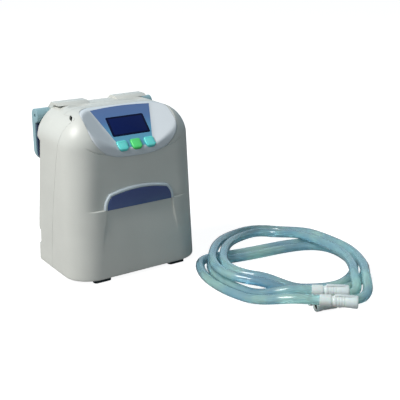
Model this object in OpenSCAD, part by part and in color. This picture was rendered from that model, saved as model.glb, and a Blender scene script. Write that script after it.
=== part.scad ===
// Compression therapy pump with its pair of air hoses lying coiled beside it.
// Millimetres. +Z is up, the front faces -Y and +X is on the right seen from the front.
// The origin is on the table, under the middle of the pump with its bed hook closed.

/* [Case] */
// Width of the case at its foot
case_w = 165; // [155:1:178]
// Depth of the case at its foot, without the bed hook
case_d = 106; // [102:1:116]
// Height of the flat top over the table
case_h = 185.5; // [182:0.5:196]
// Height of the feet
foot_h = 4; // [3:0.5:6]
// Thickness of the moulded walls
wall = 2.5; // [2:0.1:3]
// How far each side leans in, per millimetre of height
side_draft = 0.03; // [0.015:0.005:0.045]
// How far the front leans back, per millimetre of height
front_draft = 0.0415; // [0.03:0.0005:0.05]
// How far the back leans forward above the rear channel, per millimetre of height
rear_draft = 0.098; // [0.07:0.002:0.11]
// Plan radius of the two front corners
corner_r = 31; // [26:1:34]
// Plan radius of the two rear corners
rear_corner_r = 12; // [8:1:14]
// Radius of the domed shoulders
dome_r = 37; // [34:0.5:40]
// Radius along the top rear edge
rear_top_r = 9; // [6:0.5:11]
// Height of the rear hinge housing's lower edge
hinge_box_z = 152; // [146:1:156]
// Set-back of the hinge housing from the foot's rear face
hinge_box_in = 3; // [2:0.5:5]

/* [Skirt and name plate] */
// Height of the ledge across the front
ledge_z = 83; // [78:0.5:88]
// Depth of the step at the ledge
ledge_step = 3; // [2:0.1:3.6]
// Half the length over which the ledge has its full depth
ledge_full = 45; // [43:0.5:48]
// Half the length of the whole ledge, where it fades out
ledge_end = 66; // [60:0.5:70]
// Depth of the hollow under the name plate
apron_depth = 2.6; // [1.5:0.1:3]
// Height at which that hollow fades out
apron_low = 40; // [30:1:50]
// Half the width of the arched name plate
plate_half_w = 40.5; // [37:0.5:42]
// Height of the name plate
plate_h = 19; // [16:0.5:22]
// Radius of the name plate's upper corners
plate_r = 17; // [12:0.5:18]
// Width of the rim round the name plate
rim_w = 3.6; // [2.5:0.1:4.4]
// How far the plate stands out of the face behind it
plate_proud = 3.1; // [2:0.1:3.4]

/* [Console] */
// Slope of the console from the level
console_tilt = 45.5; // [42:0.5:48]
// Distance of the console's top edge behind the foot of the front
console_back = 43; // [42:0.5:45]
// Half the width of the console pod
pod_half_w = 55; // [52:0.5:57]
// Half the length of the console pod down the slope
pod_half_l = 36; // [34:0.5:37]
// Distance of the pod's middle down the slope
pod_mid = 24; // [23:0.5:25]
// How far the pod stands out of the case
pod_proud = 1.2; // [0.6:0.1:2]
// Width of the blue panel at its top
panel_top_w = 74.4; // [70:0.2:78]
// Width of the blue panel at its bottom
panel_low_w = 44; // [40:0.2:48]
// Length of the blue panel down the slope
panel_l = 46; // [44:0.5:48]
// Width of the display window
window_w = 47; // [42:0.5:50]
// Height of the display window
window_l = 25; // [22:0.5:26]
// Distance of the display window's top edge down the slope
window_s = 12.5; // [11:0.5:14]
// Width of a button
button_w = 12; // [10:0.5:13]
// Length of a button
button_l = 12; // [10:0.5:12.5]
// Spacing of the three buttons
button_pitch = 17; // [15:0.5:19]
// Distance of the buttons' middle down the slope
button_s = 49.6; // [48.5:0.1:50.5]
// How far a button stands out of the console
button_proud = 1.8; // [1.4:0.1:2.4]
// How far a button travels
button_travel = 1; // [0.6:0.1:1.2]
// Gap round a button
button_gap = 0.4; // [0.25:0.05:0.6]

/* [Bed hook] */
// How far the closed hook stands out behind the foot's rear face
hook_out = 6.5; // [5.5:0.5:8]
// Half the width of the hook
hook_half_w = 75; // [68:0.5:76]
// Radius of the hook's hinge barrel
barrel_r = 8; // [7:0.25:8.5]
// Distance of the hinge axis under the flat top
hinge_drop = 12.5; // [12:0.5:14]
// Thickness of the hook's plate
hook_t = 7; // [5:0.5:7]
// Length of the hook from its hinge axis to its tip
hook_l = 54; // [46:1:62]
// Radius of the hook's two lower corners
hook_corner_r = 14; // [8:1:20]
// Thickness of the hook's rubber pad
pad_t = 2; // [1:0.1:2.1]
// Radius of the hinge pin
pin_r = 2; // [1.5:0.1:2.4]
// Inner edge of each hinge lug
lug_in = 18; // [14:0.5:22]
// Outer edge of each hinge lug
lug_out = 57; // [50:0.5:60]
// Height of the lugs' raised tops over the flat top
lug_rise = 2.5; // [1:0.5:4]

/* [Rear channel] */
// Height of the channel's floor over the table
channel_z = 23; // [21:0.5:26]
// Height of the channel's mouth
channel_h = 22.5; // [21:0.5:25]
// Depth of the channel
channel_d = 13.5; // [10:0.5:14]
// Depth of a hose socket's bore
socket_l = 14; // [12:0.5:16]
// Spacing of the two hose sockets
socket_pitch = 22; // [19:0.5:26]

/* [Hoses] */
// Outer diameter of a hose
hose_d = 10.5; // [8:0.5:10.5]
// Gap between the two hoses of the pair
hose_gap = 2; // [1:0.25:2.5]
// Diameter of a hose connector
connector_d = 13; // [11.5:0.5:13]
// Length of a hose connector
connector_l = 42; // [38:1:43]

/* [Hidden] */
$fn = 48;
e = 0.01;                                  // what a cut runs past a face

light_grey = [0.80, 0.80, 0.77];
mid_grey = [0.62, 0.67, 0.67];
pale_lilac = [0.75, 0.78, 0.81];
panel_blue = [0.33, 0.50, 0.70];
window_navy = [0.06, 0.13, 0.33];
plate_navy = [0.22, 0.30, 0.48];
rim_silver = [0.80, 0.85, 0.87];
turquoise = [0.42, 0.88, 0.84];
go_green = [0.35, 0.88, 0.45];
hook_teal = [0.63, 0.74, 0.75];
pad_navy = [0.20, 0.26, 0.38];
rubber_black = [0.12, 0.14, 0.15];
board_green = [0.10, 0.36, 0.24];
metal = [0.72, 0.73, 0.75];
copper = [0.72, 0.42, 0.22];
hose_aqua = [0.58, 0.78, 0.80];
nylon_white = [0.88, 0.89, 0.88];

// ---------- the case's outline ----------
y_front = -(case_d + hook_out) / 2;        // foot of the front face
y_rear = y_front + case_d;                 // rear face of the foot
dome_z = case_h - dome_r;                  // where the shoulders start
channel_y = y_rear - channel_d;            // floor of the rear channel
channel_top = channel_z + channel_h;
channel_low = channel_z + 1.5;               // the channel's two edges slope in to its floor
channel_high = channel_top - 4;
port_z = (channel_low + channel_high) / 2; // height of what sits in the channel's floor

function clamp(v, lo, hi) = min(max(v, lo), hi);
function ease(a, b, v) = let (t = clamp((v - a) / (b - a), 0, 1)) t * t * (3 - 2 * t);
function rounding(r, start, z) = z <= start ? 0 : r - sqrt(max(r * r - pow(min(z - start, r), 2), 0));

// Half the crease-to-crease width of the hollow under the plate
function apron_half(z) = ledge_full - 3 + 6 * ease(ledge_z, apron_low, z) * (ledge_z - z > 0 ? 1 : 0);

function half_width(z) = case_w / 2 - side_draft * (z - foot_h);
function face_y(z) = y_front + front_draft * (z - foot_h);
function back_y(z) =
  z < channel_top ? y_rear
  : z < hinge_box_z - 4 ? y_rear - rear_draft * (z - channel_top)
  : z < hinge_box_z
    ? y_rear - rear_draft * (hinge_box_z - 4 - channel_top)
      + (z - hinge_box_z + 4) / 4 * (rear_draft * (hinge_box_z - 4 - channel_top) - hinge_box_in)
  : y_rear - hinge_box_in;

// Step of the front face: the skirt below the ledge stands proud, the face above it is set back
function step_at(z) =
  z > ledge_z ? ledge_step * 0.55 * (1 - ease(ledge_z, dome_z, z))
  : -ledge_step * 0.45 * ease(foot_h, ledge_z, z);
function relief(x, z) =
  step_at(z) * (1 - ease(ledge_full, ledge_end, abs(x)))
  + (z < ledge_z && abs(x) < apron_half(z) ? apron_depth * ease(apron_low, ledge_z, z) : 0);

// One level ring of the case, set in by t: front middle, right side, rear, left side
function half_ring(z, t, detail) =
  let (d = rounding(dome_r - t, dome_z, z),
    dr = rounding(rear_top_r, case_h - t - rear_top_r, z),
    hw = half_width(min(z, dome_z)) - t - d,
    yf = face_y(min(z, dome_z)) + t + d,
    yr = back_y(z) - t - dr,
    r = max(corner_r - t - d, 0.8),
    rr = max(rear_corner_r - t - dr, 0.8),
    xc = hw - r,
    xa = min(apron_half(z), xc - 1.5))
  [for (x = detail ? [0, xa * 0.25, xa * 0.5, xa * 0.75, xa - 0.4, xa + 0.4] : [0, xa * 0.5, xa - 0.4])
      [x, yf + relief(x, z)],
    for (a = [0 : detail ? 10 : 22.5 : 90])
      let (x = xc + r * sin(a)) [x, yf + r * (1 - cos(a)) + relief(x, z) * cos(a)],
    for (k = [1 : 3]) [hw, yf + r + (yr - rr - yf - r) * k / 4],
    for (a = [0 : 22.5 : 90]) [hw - rr + rr * cos(a), yr - rr + rr * sin(a)],
    for (k = [1 : 2]) [(hw - rr) * (1 - k / 3), yr]];
function ring(z, t, detail, inset = 0) =
  let (h = half_ring(z, t + inset, detail), n = len(h))
  [for (p = h) [p[0], p[1], z],
    [0, h[n - 1][1], z],
    for (i = [n - 1 : -1 : 1]) [-h[i][0], h[i][1], z]];

function flat(rows) = [for (r = rows) each r];
// A closed skin through level rings of equal length
module loft(rings) {
  n = len(rings[0]);
  m = len(rings);
  polyhedron(points = flat(rings), faces = [
    [for (i = [0 : n - 1]) i],
    [for (i = [n - 1 : -1 : 0]) (m - 1) * n + i],
    for (j = [0 : m - 2], i = [0 : n - 1]) each
      let (a = j * n + i, b = j * n + (i + 1) % n, c = b + n, d = a + n) [[a, d, b], [b, d, c]]]);
}

dome_steps = [for (a = [9 : 9 : 81]) dome_z + dome_r * sin(a)];
module case_skin()
  loft([ring(foot_h, 0, true, 1.6), ring(foot_h + 0.6, 0, true, 0.5),
    for (z = concat([foot_h + 2, 13, 26, apron_low, 50, 60, 70, ledge_z - 0.5, ledge_z + 0.5,
          95, 112, 130, hinge_box_z - 4, hinge_box_z], [for (z = dome_steps) if (z > hinge_box_z + 1) z],
        [case_h - 0.3]))
      ring(z, 0, true),
    ring(case_h, 0, true)]);
module case_hollow() {
  top = case_h - wall;
  loft([for (z = concat([foot_h + wall, 45, ledge_z - 1.5, ledge_z + 1.5, 110, hinge_box_z - 4, hinge_box_z],
          [for (a = [15 : 15 : 75]) dome_z + (dome_r - wall) * sin(a)], [top]))
      if (z <= top) ring(z, wall, false)]);
}

// ---------- the seam between the housings ----------
seam_foot = 63;                            // distance of the seam behind the front's foot, low down
seam_top_y = y_front + 60;                 // the seam across the flat top
seam_half = case_w / 2 - 23;               // where the side seam steps to the top seam
seam_box_z = dome_z + 21;
function seam_y(z) = y_front + seam_foot - 0.07 * (z - 21) - 0.00075 * pow(z - 21, 2);
module front_side(gap = 0) {
  rotate([90, 0, 90]) linear_extrude(case_w + 20, center = true)
    polygon([[y_front - 20, -5], for (z = [-5 : 10 : 205]) [seam_y(z) - gap, z], [y_front - 20, 205]]);
  translate([-seam_half + gap, y_front - 20, seam_box_z + gap])
    cube([2 * (seam_half - gap), seam_top_y - gap - y_front + 20, 60]);
}
// The finger slit at the upper end of the side seam, lens-shaped
slit_l = 15;
slit_w = 3.4;
module slit() {
  lens_r = (slit_l * slit_l / 4 + slit_w * slit_w / 4) / slit_w;
  translate([seam_half + 3, seam_y(dome_z + 33) + 9, dome_z + 33.5]) rotate([0, 40, 0]) rotate([0, 0, 24])
    intersection_for (s = [-1, 1])
      translate([s * (lens_r - slit_w / 2), 0, -9]) cylinder(r = lens_r, h = 14, $fn = 96);
}

// ---------- the console's own frame: x across, -y down the slope, z out of it ----------
module on_console()
  translate([0, y_front + console_back, case_h]) rotate([console_tilt, 0, 0]) children();

pod_floor = -9;                            // the pod's lower rim, below the console's plane
pod_gap = 0.15;
plate_t = 2.5;                             // thickness of the pod's face
function bent(v, k) = sign(v) * pow(abs(v), k);
module pod_outline(grow = 0)
  polygon([for (a = [0 : 7.5 : 352.5])
    [(pod_half_w + grow) * bent(cos(a), 2 / 3), -pod_mid + (pod_half_l + grow) * bent(sin(a), 2 / 3)]]);
module pod_prism(grow, low, high)
  on_console() translate([0, 0, low]) linear_extrude(high - low) pod_outline(grow);

// The blue panel runs on between the buttons, and its top edge bows up a little
panel_low = button_s + 3;
function panel_half(s) = panel_top_w / 2 + (panel_low_w - panel_top_w) / 2 * s / panel_l;
module panel_outline(grow = 0)
  polygon([for (k = [-4 : 4]) [k / 4 * (panel_half(0) + grow), 2 * (1 - k * k / 16) - 1 + grow],
    [panel_half(panel_low) + grow, -panel_low - grow], [-panel_half(panel_low) - grow, -panel_low - grow]]);
module button_outline(grow = 0)
  hull() for (x = [-1, 1], y = [-1, 1])
    translate([x * (button_w / 2 - 3), y * (button_l / 2 - 3)]) circle(r = 3 + grow, $fn = 32);
button_xs = [-button_pitch, 0, button_pitch];
module at_buttons() for (x = button_xs) translate([x, -button_s]) children();

// The hollow that the console's flanks rise out of
module dish() {
  dish_high = 16;
  flank = dish_high / tan(20);
  on_console() hull() {
    linear_extrude(e) polygon([for (s = [-1.5, 59], m = [-1, 1])
      [(s > 0 ? m : -m) * (panel_half(s) + 1.5), -s]]);
    translate([0, 0, dish_high]) linear_extrude(e) polygon([for (s = [-14, 75], m = [-1, 1])
      [(s > 0 ? m : -m) * (panel_half(s) + flank), -s]]);
  }
}

// ---------- the housings ----------
shelf_top = pod_floor - 0.1;
shelf_t = 1.6;
post_xy = [for (x = [-27, 27], s = [4, 46]) [x, -s]];
board_top = shelf_top - shelf_t - 3;       // the control board's upper face
screw_x = [case_w / 2 - 16.5, case_w / 2 - 19.5];
screw_z = [13, dome_z - 8.5];
screw_r = 1.6;
screw_gap = 0.05;
head_r = 3;
head_h = 2.4;
boss_r = 4.6;
plug_r = 3;
foot_w = 21;
foot_d = 9;
foot_xy = [for (x = [-1, 1], y = [y_front + 8, y_rear - 8]) [x * 48.5, y]];

module slot(l, r, h) hull() for (x = [-1, 1]) translate([x * (l / 2 - r), 0, -e])
    cylinder(r = r, h = h, $fn = 16);
module at_screws() for (k = [0, 1], m = [-1, 1]) translate([m * screw_x[k], 0, screw_z[k]]) children();
seat_depth = 12;                           // what a screw's head holds, behind the seam
function screw_seat(k) = seam_y(screw_z[k]) + seat_depth;

module shell() difference() {
  case_skin();
  difference() {
    case_hollow();
    translate([-case_w, channel_y - wall, channel_z - wall])
      cube([2 * case_w, 60, channel_h + 2 * wall]);
  }
  rear_channel();
}
module rear_channel()
  rotate([90, 0, 90]) linear_extrude(case_w + 20, center = true) polygon([
    [y_rear + 20, channel_z], [y_rear, channel_z], [channel_y, channel_low],
    [channel_y, channel_high], [y_rear, channel_top], [y_rear + 20, channel_top]]);

plate_back = face_y(ledge_z + plate_h + rim_w) + 0.55 * ledge_step + 0.1;
plate_front = face_y(ledge_z) + 0.55 * ledge_step - plate_proud;
plate_low = ledge_z - 0.8;
bow_r = 140;
module arch(half_w, h, r) intersection() {
  union() {
    translate([-half_w, 0]) square([2 * half_w, h - r]);
    translate([-half_w + r, 0]) square([2 * (half_w - r), h]);
    for (m = [-1, 1]) translate([m * (half_w - r), h - r]) circle(r = r);
  }
  translate([0, h - bow_r]) circle(r = bow_r, $fn = 180);
  translate([-half_w - 1, 0]) square([2 * half_w + 2, h + 1]);
}
module upright(y, t) translate([0, y + t, plate_low]) rotate([90, 0, 0]) linear_extrude(t) children();

module boss(k, m, y, l) {
  translate([m * screw_x[k], y, screw_z[k]]) rotate([-90, 0, 0]) cylinder(r = boss_r, h = l, $fn = 24);
  intersection() {
    case_skin();
    translate([m > 0 ? screw_x[k] : -case_w, y + 0.4, screw_z[k] - 1])
        cube([case_w - screw_x[k], l - 0.8, 2]);
  }
}
module front_housing() color(mid_grey) difference() {
  union() {
    difference() {
      intersection() {
        shell();
        front_side();
      }
      pod_prism(pod_gap, shelf_top - 0.6, 40);
    }
    // shelf that carries the pod, with the control board's posts on its arms
    difference() {
      intersection() {
        case_skin();
        pod_prism(3, shelf_top - shelf_t, shelf_top);
      }
      pod_prism(-4, shelf_top - shelf_t - 1, shelf_top + 1);
    }
    on_console() for (p = post_xy) {
      translate([p[0], p[1], board_top]) cylinder(r1 = 2.4, r2 = 3, h = shelf_top - board_top, $fn = 24);
      translate([p[0] > 0 ? p[0] - 3 : p[0] - 23, p[1] - 3, shelf_top - shelf_t]) cube([26, 6, shelf_t]);
    }
    for (k = [0, 1], m = [-1, 1]) boss(k, m, seam_y(screw_z[k]) - 18.1, 18);
  }
  for (k = [0, 1], m = [-1, 1]) translate([m * screw_x[k], seam_y(screw_z[k]) + 1, screw_z[k]])
    rotate([90, 0, 0]) cylinder(r = screw_r + screw_gap, h = 15, $fn = 24);
  upright(plate_back - 30, 30) arch(plate_half_w + rim_w + 0.1, plate_h + rim_w + 0.1, plate_r + rim_w);
  slit();
  mirror([1, 0, 0]) slit();
  for (p = foot_xy) if (p[1] < 0) translate([p[0], p[1], 0]) cylinder(r = plug_r + 0.1, h = 8, $fn = 24);
  for (x = [-36 : 9 : 36]) translate([x, y_front + 40, foot_h - 1]) rotate([0, 0, 90]) slot(26, 1.5, 5);
}

axis_y = y_rear + hook_out - barrel_r;     // the bed hook's hinge axis
axis_z = case_h - hinge_drop;
trough_gap = 0.5;
socket_x = [-35 - socket_pitch / 2, -35 + socket_pitch / 2];
plug_gap = 0.2;                            // between a hose connector and the socket it goes into
socket_r = connector_d / 2 + plug_gap;
socket_body = socket_r + 1;
inlet_x = 42;
inlet_size = [24, 13];
switch_x = 12;
switch_size = [19, 12.6];
module port(x, size, low, high)
  translate([x - size[0] / 2, low, port_z - size[1] / 2]) cube([size[0], high - low, size[1]]);
module along_x(half, r, fn = 48) translate([-half, axis_y, axis_z]) rotate([0, 90, 0])
    cylinder(r = r, h = 2 * half, $fn = fn);

module rear_housing() color(light_grey) {
  difference() {
    union() {
      difference() {
        shell();
        front_side(-0.1);
      }
      intersection() {
        case_skin();
        along_x(hook_half_w + 1.5, barrel_r + trough_gap + wall);
      }
      for (k = [0, 1], m = [-1, 1])
        boss(k, m, seam_y(screw_z[k]) + 0.1, back_y(screw_z[k]) - seam_y(screw_z[k]) - 0.6);
    }
    along_x(hook_half_w + 0.6, barrel_r + trough_gap);
    for (m = [-1, 1]) lug_solid(m, 0.1);
    for (k = [0, 1], m = [-1, 1]) translate([m * screw_x[k], seam_y(screw_z[k]) - 1, screw_z[k]])
        rotate([-90, 0, 0]) {
      cylinder(r = screw_r + screw_gap, h = 90, $fn = 24);
      translate([0, 0, seat_depth + 1]) cylinder(r = head_r + 0.2, h = 90, $fn = 24);
    }
    for (x = socket_x) translate([x, channel_y - wall - 1, port_z]) rotate([-90, 0, 0])
      cylinder(r = socket_body + 0.1, h = wall + 2, $fn = 48);
    port(inlet_x, inlet_size + [0.2, 0.2], channel_y - wall - 1, channel_y + 1);
    port(switch_x, switch_size + [0.2, 0.2], channel_y - wall - 1, channel_y + 1);
    slit();
    mirror([1, 0, 0]) slit();
    // finger scoops in front of the lugs
    for (m = [-1, 1]) translate([m * (lug_in + lug_out) / 2, y_front + 72, case_h + 3]) hull()
      for (n = [-1, 1]) translate([n * 12, 0, 0]) scale([1, 1, 0.6]) sphere(r = 8, $fn = 24);
    for (p = foot_xy) if (p[1] > 0) translate([p[0], p[1], 0]) cylinder(r = plug_r + 0.1, h = 8, $fn = 24);
    for (z = [60 : 8 : 100]) translate([0, back_y(z) + 3, z]) rotate([90, 0, 0]) slot(64, 1.5, 9);
  }
}

// ---------- console ----------
module pod_skin() loft([for (z = concat([foot_h + 100, 118, 130, dome_z - 8, dome_z], dome_steps,
    [case_h + 0.2]))
  ring(z, -pod_proud * (1 - ease(dome_z, case_h, z)), true)]);
module console_bezel() color(pale_lilac) difference() {
  intersection() {
    pod_skin();
    pod_prism(0, pod_floor, 40);
  }
  dish();
  intersection() {
    case_hollow();
    pod_prism(-wall, pod_floor - 1, -plate_t);
  }
  on_console() {
    translate([0, 0, -panel_t - 0.05]) linear_extrude(5) panel_outline(0.1);
    translate([0, 0, -9]) linear_extrude(20) window_outline(0.1);
    translate([0, 0, -9]) linear_extrude(14) at_buttons() button_outline(button_gap);
    translate([0, 0, pod_floor - 1]) linear_extrude(1.2 - plate_t - pod_floor) at_buttons()
        button_outline(flange + 0.3);
  }
}
panel_t = 0.8;
flange = 1.1;                              // how far a button's flange runs out under the pod's face
module console_panel() color(panel_blue) on_console() difference() {
  translate([0, 0, -panel_t]) linear_extrude(panel_t) panel_outline();
  translate([0, 0, -2]) linear_extrude(4) window_outline(0.1);
  translate([0, 0, -2]) linear_extrude(4) at_buttons() button_outline(button_gap);
}
window_t = 2.2;
module window_outline(grow = 0) hull() for (x = [-1, 1], y = [-1, 1])
  translate([x * (window_w / 2 - 1.5), -window_s - window_l / 2 + y * (window_l / 2 - 1.5)])
    circle(r = 1.5 + grow, $fn = 24);
module display_window() color(window_navy) on_console()
  translate([0, 0, -window_t]) linear_extrude(window_t + 0.1) window_outline();

stem_r = 1.6;
switch_top = shelf_top - 1;
stem_end = switch_top - 0.6;
module button(x) on_console() translate([x, -button_s, 0]) {
  flange_top = -plate_t - 0.3;
  translate([0, 0, flange_top - 1.5]) linear_extrude(1.5) button_outline(flange);
  translate([0, 0, flange_top - 1]) linear_extrude(button_proud - flange_top + 0.2) button_outline();
  translate([0, 0, stem_end]) cylinder(r = stem_r, h = flange_top - 1 - stem_end);
}
module button_left() color(turquoise) button(button_xs[0]);
module button_centre() color(go_green) button(button_xs[1]);
module button_right() color(turquoise) button(button_xs[2]);

module control_board() color(board_green) on_console() difference() {
  translate([-31, -54, board_top - 1.6]) cube([62, 54, 1.6]);
  for (p = post_xy) translate([p[0], p[1], board_top - 3]) cylinder(r = 1.3, h = 5);
}
module display_module() color(metal) on_console() {
  translate([-window_w / 2 - 3, -window_s - window_l - 3, board_top + 2])
    cube([window_w + 6, window_l + 6, -plate_t - 0.2 - board_top - 2]);
  for (x = [-1, 1], s = [2, window_l - 2]) translate([x * (window_w / 2 - 2), -window_s - s, board_top])
    cylinder(r = 1.5, h = 3);
}
module key_switches() color(rubber_black) on_console() for (x = button_xs) translate([x, -button_s, 0])
  difference() {
    translate([-3.2, -3.2, board_top]) cube([6.4, 6.4, switch_top - board_top]);
    translate([0, 0, stem_end - button_travel - 0.5]) cylinder(r = stem_r + 0.2, h = 10);
  }
module buzzer() color(rubber_black) on_console() translate([0, -27, board_top - 1.6 - 6])
    cylinder(r = 6, h = 6);

module name_plate() color(plate_navy)
  upright(plate_front, plate_back - plate_front) arch(plate_half_w - 0.05, plate_h - 0.05, plate_r);
module name_plate_rim() color(rim_silver)
  upright(plate_front + 0.4, plate_back - plate_front - 0.4) difference() {
    arch(plate_half_w + rim_w, plate_h + rim_w, plate_r + rim_w);
    translate([0, -e]) arch(plate_half_w, plate_h + e, plate_r);
  }

// ---------- bed hook ----------
hook_in_y = axis_y + barrel_r - hook_t;    // inner face of the hook's plate
pad_top = axis_z - barrel_r - 1.5;
module lug_profile(grow) offset(delta = grow) union() {
  polygon([[y_rear - 26, case_h], [y_rear - 20, case_h + lug_rise], [axis_y - 6, case_h + lug_rise],
    [axis_y + barrel_r * cos(52), axis_z + barrel_r * sin(52)], [axis_y, axis_z - barrel_r + 0.1],
    [axis_y - barrel_r, axis_z - barrel_r / 2], [axis_y - 12, axis_z], [axis_y - 12, case_h]]);
  translate([axis_y, axis_z]) circle(r = barrel_r);
}
module lug_solid(m, grow = 0)
  translate([m > 0 ? lug_in - grow : -lug_out - grow, 0, 0]) rotate([90, 0, 90])
    linear_extrude(lug_out - lug_in + 2 * grow) lug_profile(grow);
module lug(m) color(light_grey) difference() {
  lug_solid(m);
  along_x(hook_half_w, pin_r + 0.02);
}
module hinge_lug_left() lug(-1);
module hinge_lug_right() lug(1);
module hook_pin() color(metal) along_x(hook_half_w - 3, pin_r);

hook_gap = 0.4;                            // beside each lug
spring_x = [4, lug_in - hook_gap - 1];
spring_r = 3.1;
spring_wire = 1;
module bed_hook() color(hook_teal) difference() {
  union() {
    for (x = [[-hook_half_w, -lug_out - hook_gap], [-lug_in + hook_gap, lug_in - hook_gap],
        [lug_out + hook_gap, hook_half_w]])
      translate([x[0], axis_y, axis_z]) rotate([0, 90, 0]) cylinder(r = barrel_r, h = x[1] - x[0]);
    difference() {
      translate([0, hook_in_y + hook_t, 0]) rotate([90, 0, 0]) linear_extrude(hook_t) hook_outline();
      for (m = [-1, 1]) translate([m > 0 ? lug_in - hook_gap : -lug_out - hook_gap, axis_y, axis_z]) {
        rotate([0, 90, 0]) cylinder(r = barrel_r + 0.6, h = lug_out - lug_in + 2 * hook_gap);
        translate([0, -1, 0]) cube([lug_out - lug_in + 2 * hook_gap, 20, 20]);
      }
    }
  }
  along_x(hook_half_w + 5, pin_r + 0.05);
  translate([spring_x[0] - 0.5, axis_y, axis_z]) rotate([0, 90, 0])
    cylinder(r = spring_r + spring_wire + 0.3, h = spring_x[1] - spring_x[0] + 1);
  // grip hollow along the tip
  translate([0, hook_in_y + hook_t + 12, axis_z - hook_l + 9]) rotate([0, 90, 0])
      cylinder(r = 14, h = 80, center = true);
}
module hook_outline() union() {
  translate([-hook_half_w, axis_z - hook_l + hook_corner_r])
      square([2 * hook_half_w, hook_l - hook_corner_r]);
  translate([-hook_half_w + hook_corner_r, axis_z - hook_l])
      square([2 * (hook_half_w - hook_corner_r), hook_l]);
  for (m = [-1, 1]) translate([m * (hook_half_w - hook_corner_r), axis_z - hook_l + hook_corner_r])
      circle(r = hook_corner_r);
}
module hook_pad() color(pad_navy) difference() {
  translate([0, hook_in_y, 0]) rotate([90, 0, 0]) linear_extrude(pad_t) intersection() {
    hook_outline();
    translate([-hook_half_w + 1.5, axis_z - hook_l + 1.5]) square([2 * hook_half_w - 3, pad_top - axis_z
        + hook_l - 1.5]);
  }
  for (z = [axis_z - hook_l + 8 : 6 : pad_top - 4]) translate([0, hook_in_y - pad_t, z]) rotate([0, 90, 0])
    cylinder(r = 0.8, h = 2 * hook_half_w, center = true);
}
module hook_spring() color(metal) tube([for (k = [0 : 8 * 8]) let (a = k * 45)
    [spring_x[0] + 0.5 + (spring_x[1] - spring_x[0] - 1) * k / 64, axis_y + spring_r * cos(a), axis_z
        + spring_r * sin(a)]],
  spring_wire / 2, 6);

// One closed tube of n sides along a list of points
function unit(v) = v / norm(v);
function tangents(p) = let (n = len(p)) [for (i = [0 : n - 1]) unit(p[min(i + 1, n - 1)] - p[max(i - 1, 0)])];
module tube(p, r, sides) {
  t = tangents(p);
  n = len(p);
  side = [for (v = t) unit(cross(v, abs(v[2]) > 0.9 ? [1, 0, 0] : [0, 0, 1]))];
  up = [for (i = [0 : n - 1]) cross(side[i], t[i])];
  polyhedron(
    points = [for (i = [0 : n - 1], k = [0 : sides - 1]) let (a = 360 * (k + 0.5) / sides)
      p[i] + r * (cos(a) * side[i] + sin(a) * up[i])],
    faces = concat([[for (k = [0 : sides - 1]) k]], [[for (k = [sides - 1 : -1 : 0]) (n - 1) * sides + k]],
      [for (i = [0 : n - 2], k = [0 : sides - 1]) each
        let (a = i * sides + k, b = i * sides + (k + 1) % sides)
            [[a, a + sides, b], [b, a + sides, b + sides]]]));
}

// ---------- feet, screws and what sits in the rear channel ----------
module feet() color(rubber_black) for (p = foot_xy) translate([p[0], p[1], 0]) {
  linear_extrude(foot_h) offset(r = 3.5) square([foot_w - 7, foot_d - 7], center = true);
  translate([0, 0, foot_h - 1]) cylinder(r = plug_r, h = wall + 1);
}
module case_screws() color(metal) for (k = [0, 1], m = [-1, 1])
  translate([m * screw_x[k], screw_seat(k), screw_z[k]]) rotate([-90, 0, 0]) difference() {
    union() {
      cylinder(r = head_r, h = head_h);
      translate([0, 0, -seat_depth - 12]) cylinder(r = screw_r, h = seat_depth + 12 + 0.5);
    }
    for (a = [0, 90]) rotate([0, 0, a]) translate([-1.7, -0.4, head_h - 1.2]) cube([3.4, 0.8, 2]);
  }

socket_flange = 1.5;
barb_r = 2.4;
module hose_socket(x) color(rubber_black) translate([x, channel_y, port_z]) rotate([-90, 0, 0]) difference() {
  union() {
    cylinder(r = socket_body + 0.6, h = socket_flange);
    translate([0, 0, socket_flange - socket_l - 2]) cylinder(r = socket_body, h = socket_l + 2);
    translate([0, 0, socket_flange - socket_l - 6]) cylinder(r = barb_r, h = 5);
  }
  translate([0, 0, socket_flange - socket_l]) cylinder(r = socket_r, h = socket_l + 1);
  translate([0, 0, socket_flange - socket_l - 7]) cylinder(r = 1.4, h = 8);
}
module hose_socket_left() hose_socket(socket_x[0]);
module hose_socket_right() hose_socket(socket_x[1]);
module outlet_tubes() color(nylon_white) for (x = socket_x)
  translate([x, channel_y + socket_flange - socket_l - 2.4, port_z]) rotate([90, 0, 0]) difference() {
    cylinder(r = 4.2, h = 8.4);
    translate([0, 0, -1]) cylinder(r = barb_r + 0.05, h = 11);
  }
module mains_inlet() color(rubber_black) translate([inlet_x, channel_y, port_z]) rotate([90, 0, 0])
    difference() {
  union() {
    translate([0, 0, -1.2]) linear_extrude(1.2) offset(r = 3)
        square([inlet_size[0] - 2, inlet_size[1] - 5], center = true);
    translate([-inlet_size[0] / 2, -inlet_size[1] / 2, 0]) cube([inlet_size[0], inlet_size[1], 14]);
    for (x = [-4.3, 4.3]) translate([x - 1.5, -0.4, 13]) cube([3, 0.8, 6]);
  }
  difference() {
    translate([0, 0, -2]) linear_extrude(13) union() {
      for (x = [-4.3, 4.3]) translate([x, 0]) circle(r = 4.3);
      square([8.6, 6], center = true);
    }
    for (x = [-4.3, 4.3]) translate([x, 0, 0]) cylinder(r = 1.2, h = 20);
  }
}
pivot_y = channel_y - 1;                   // the power rocker's hinge
rocker_tilt = 7;
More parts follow.
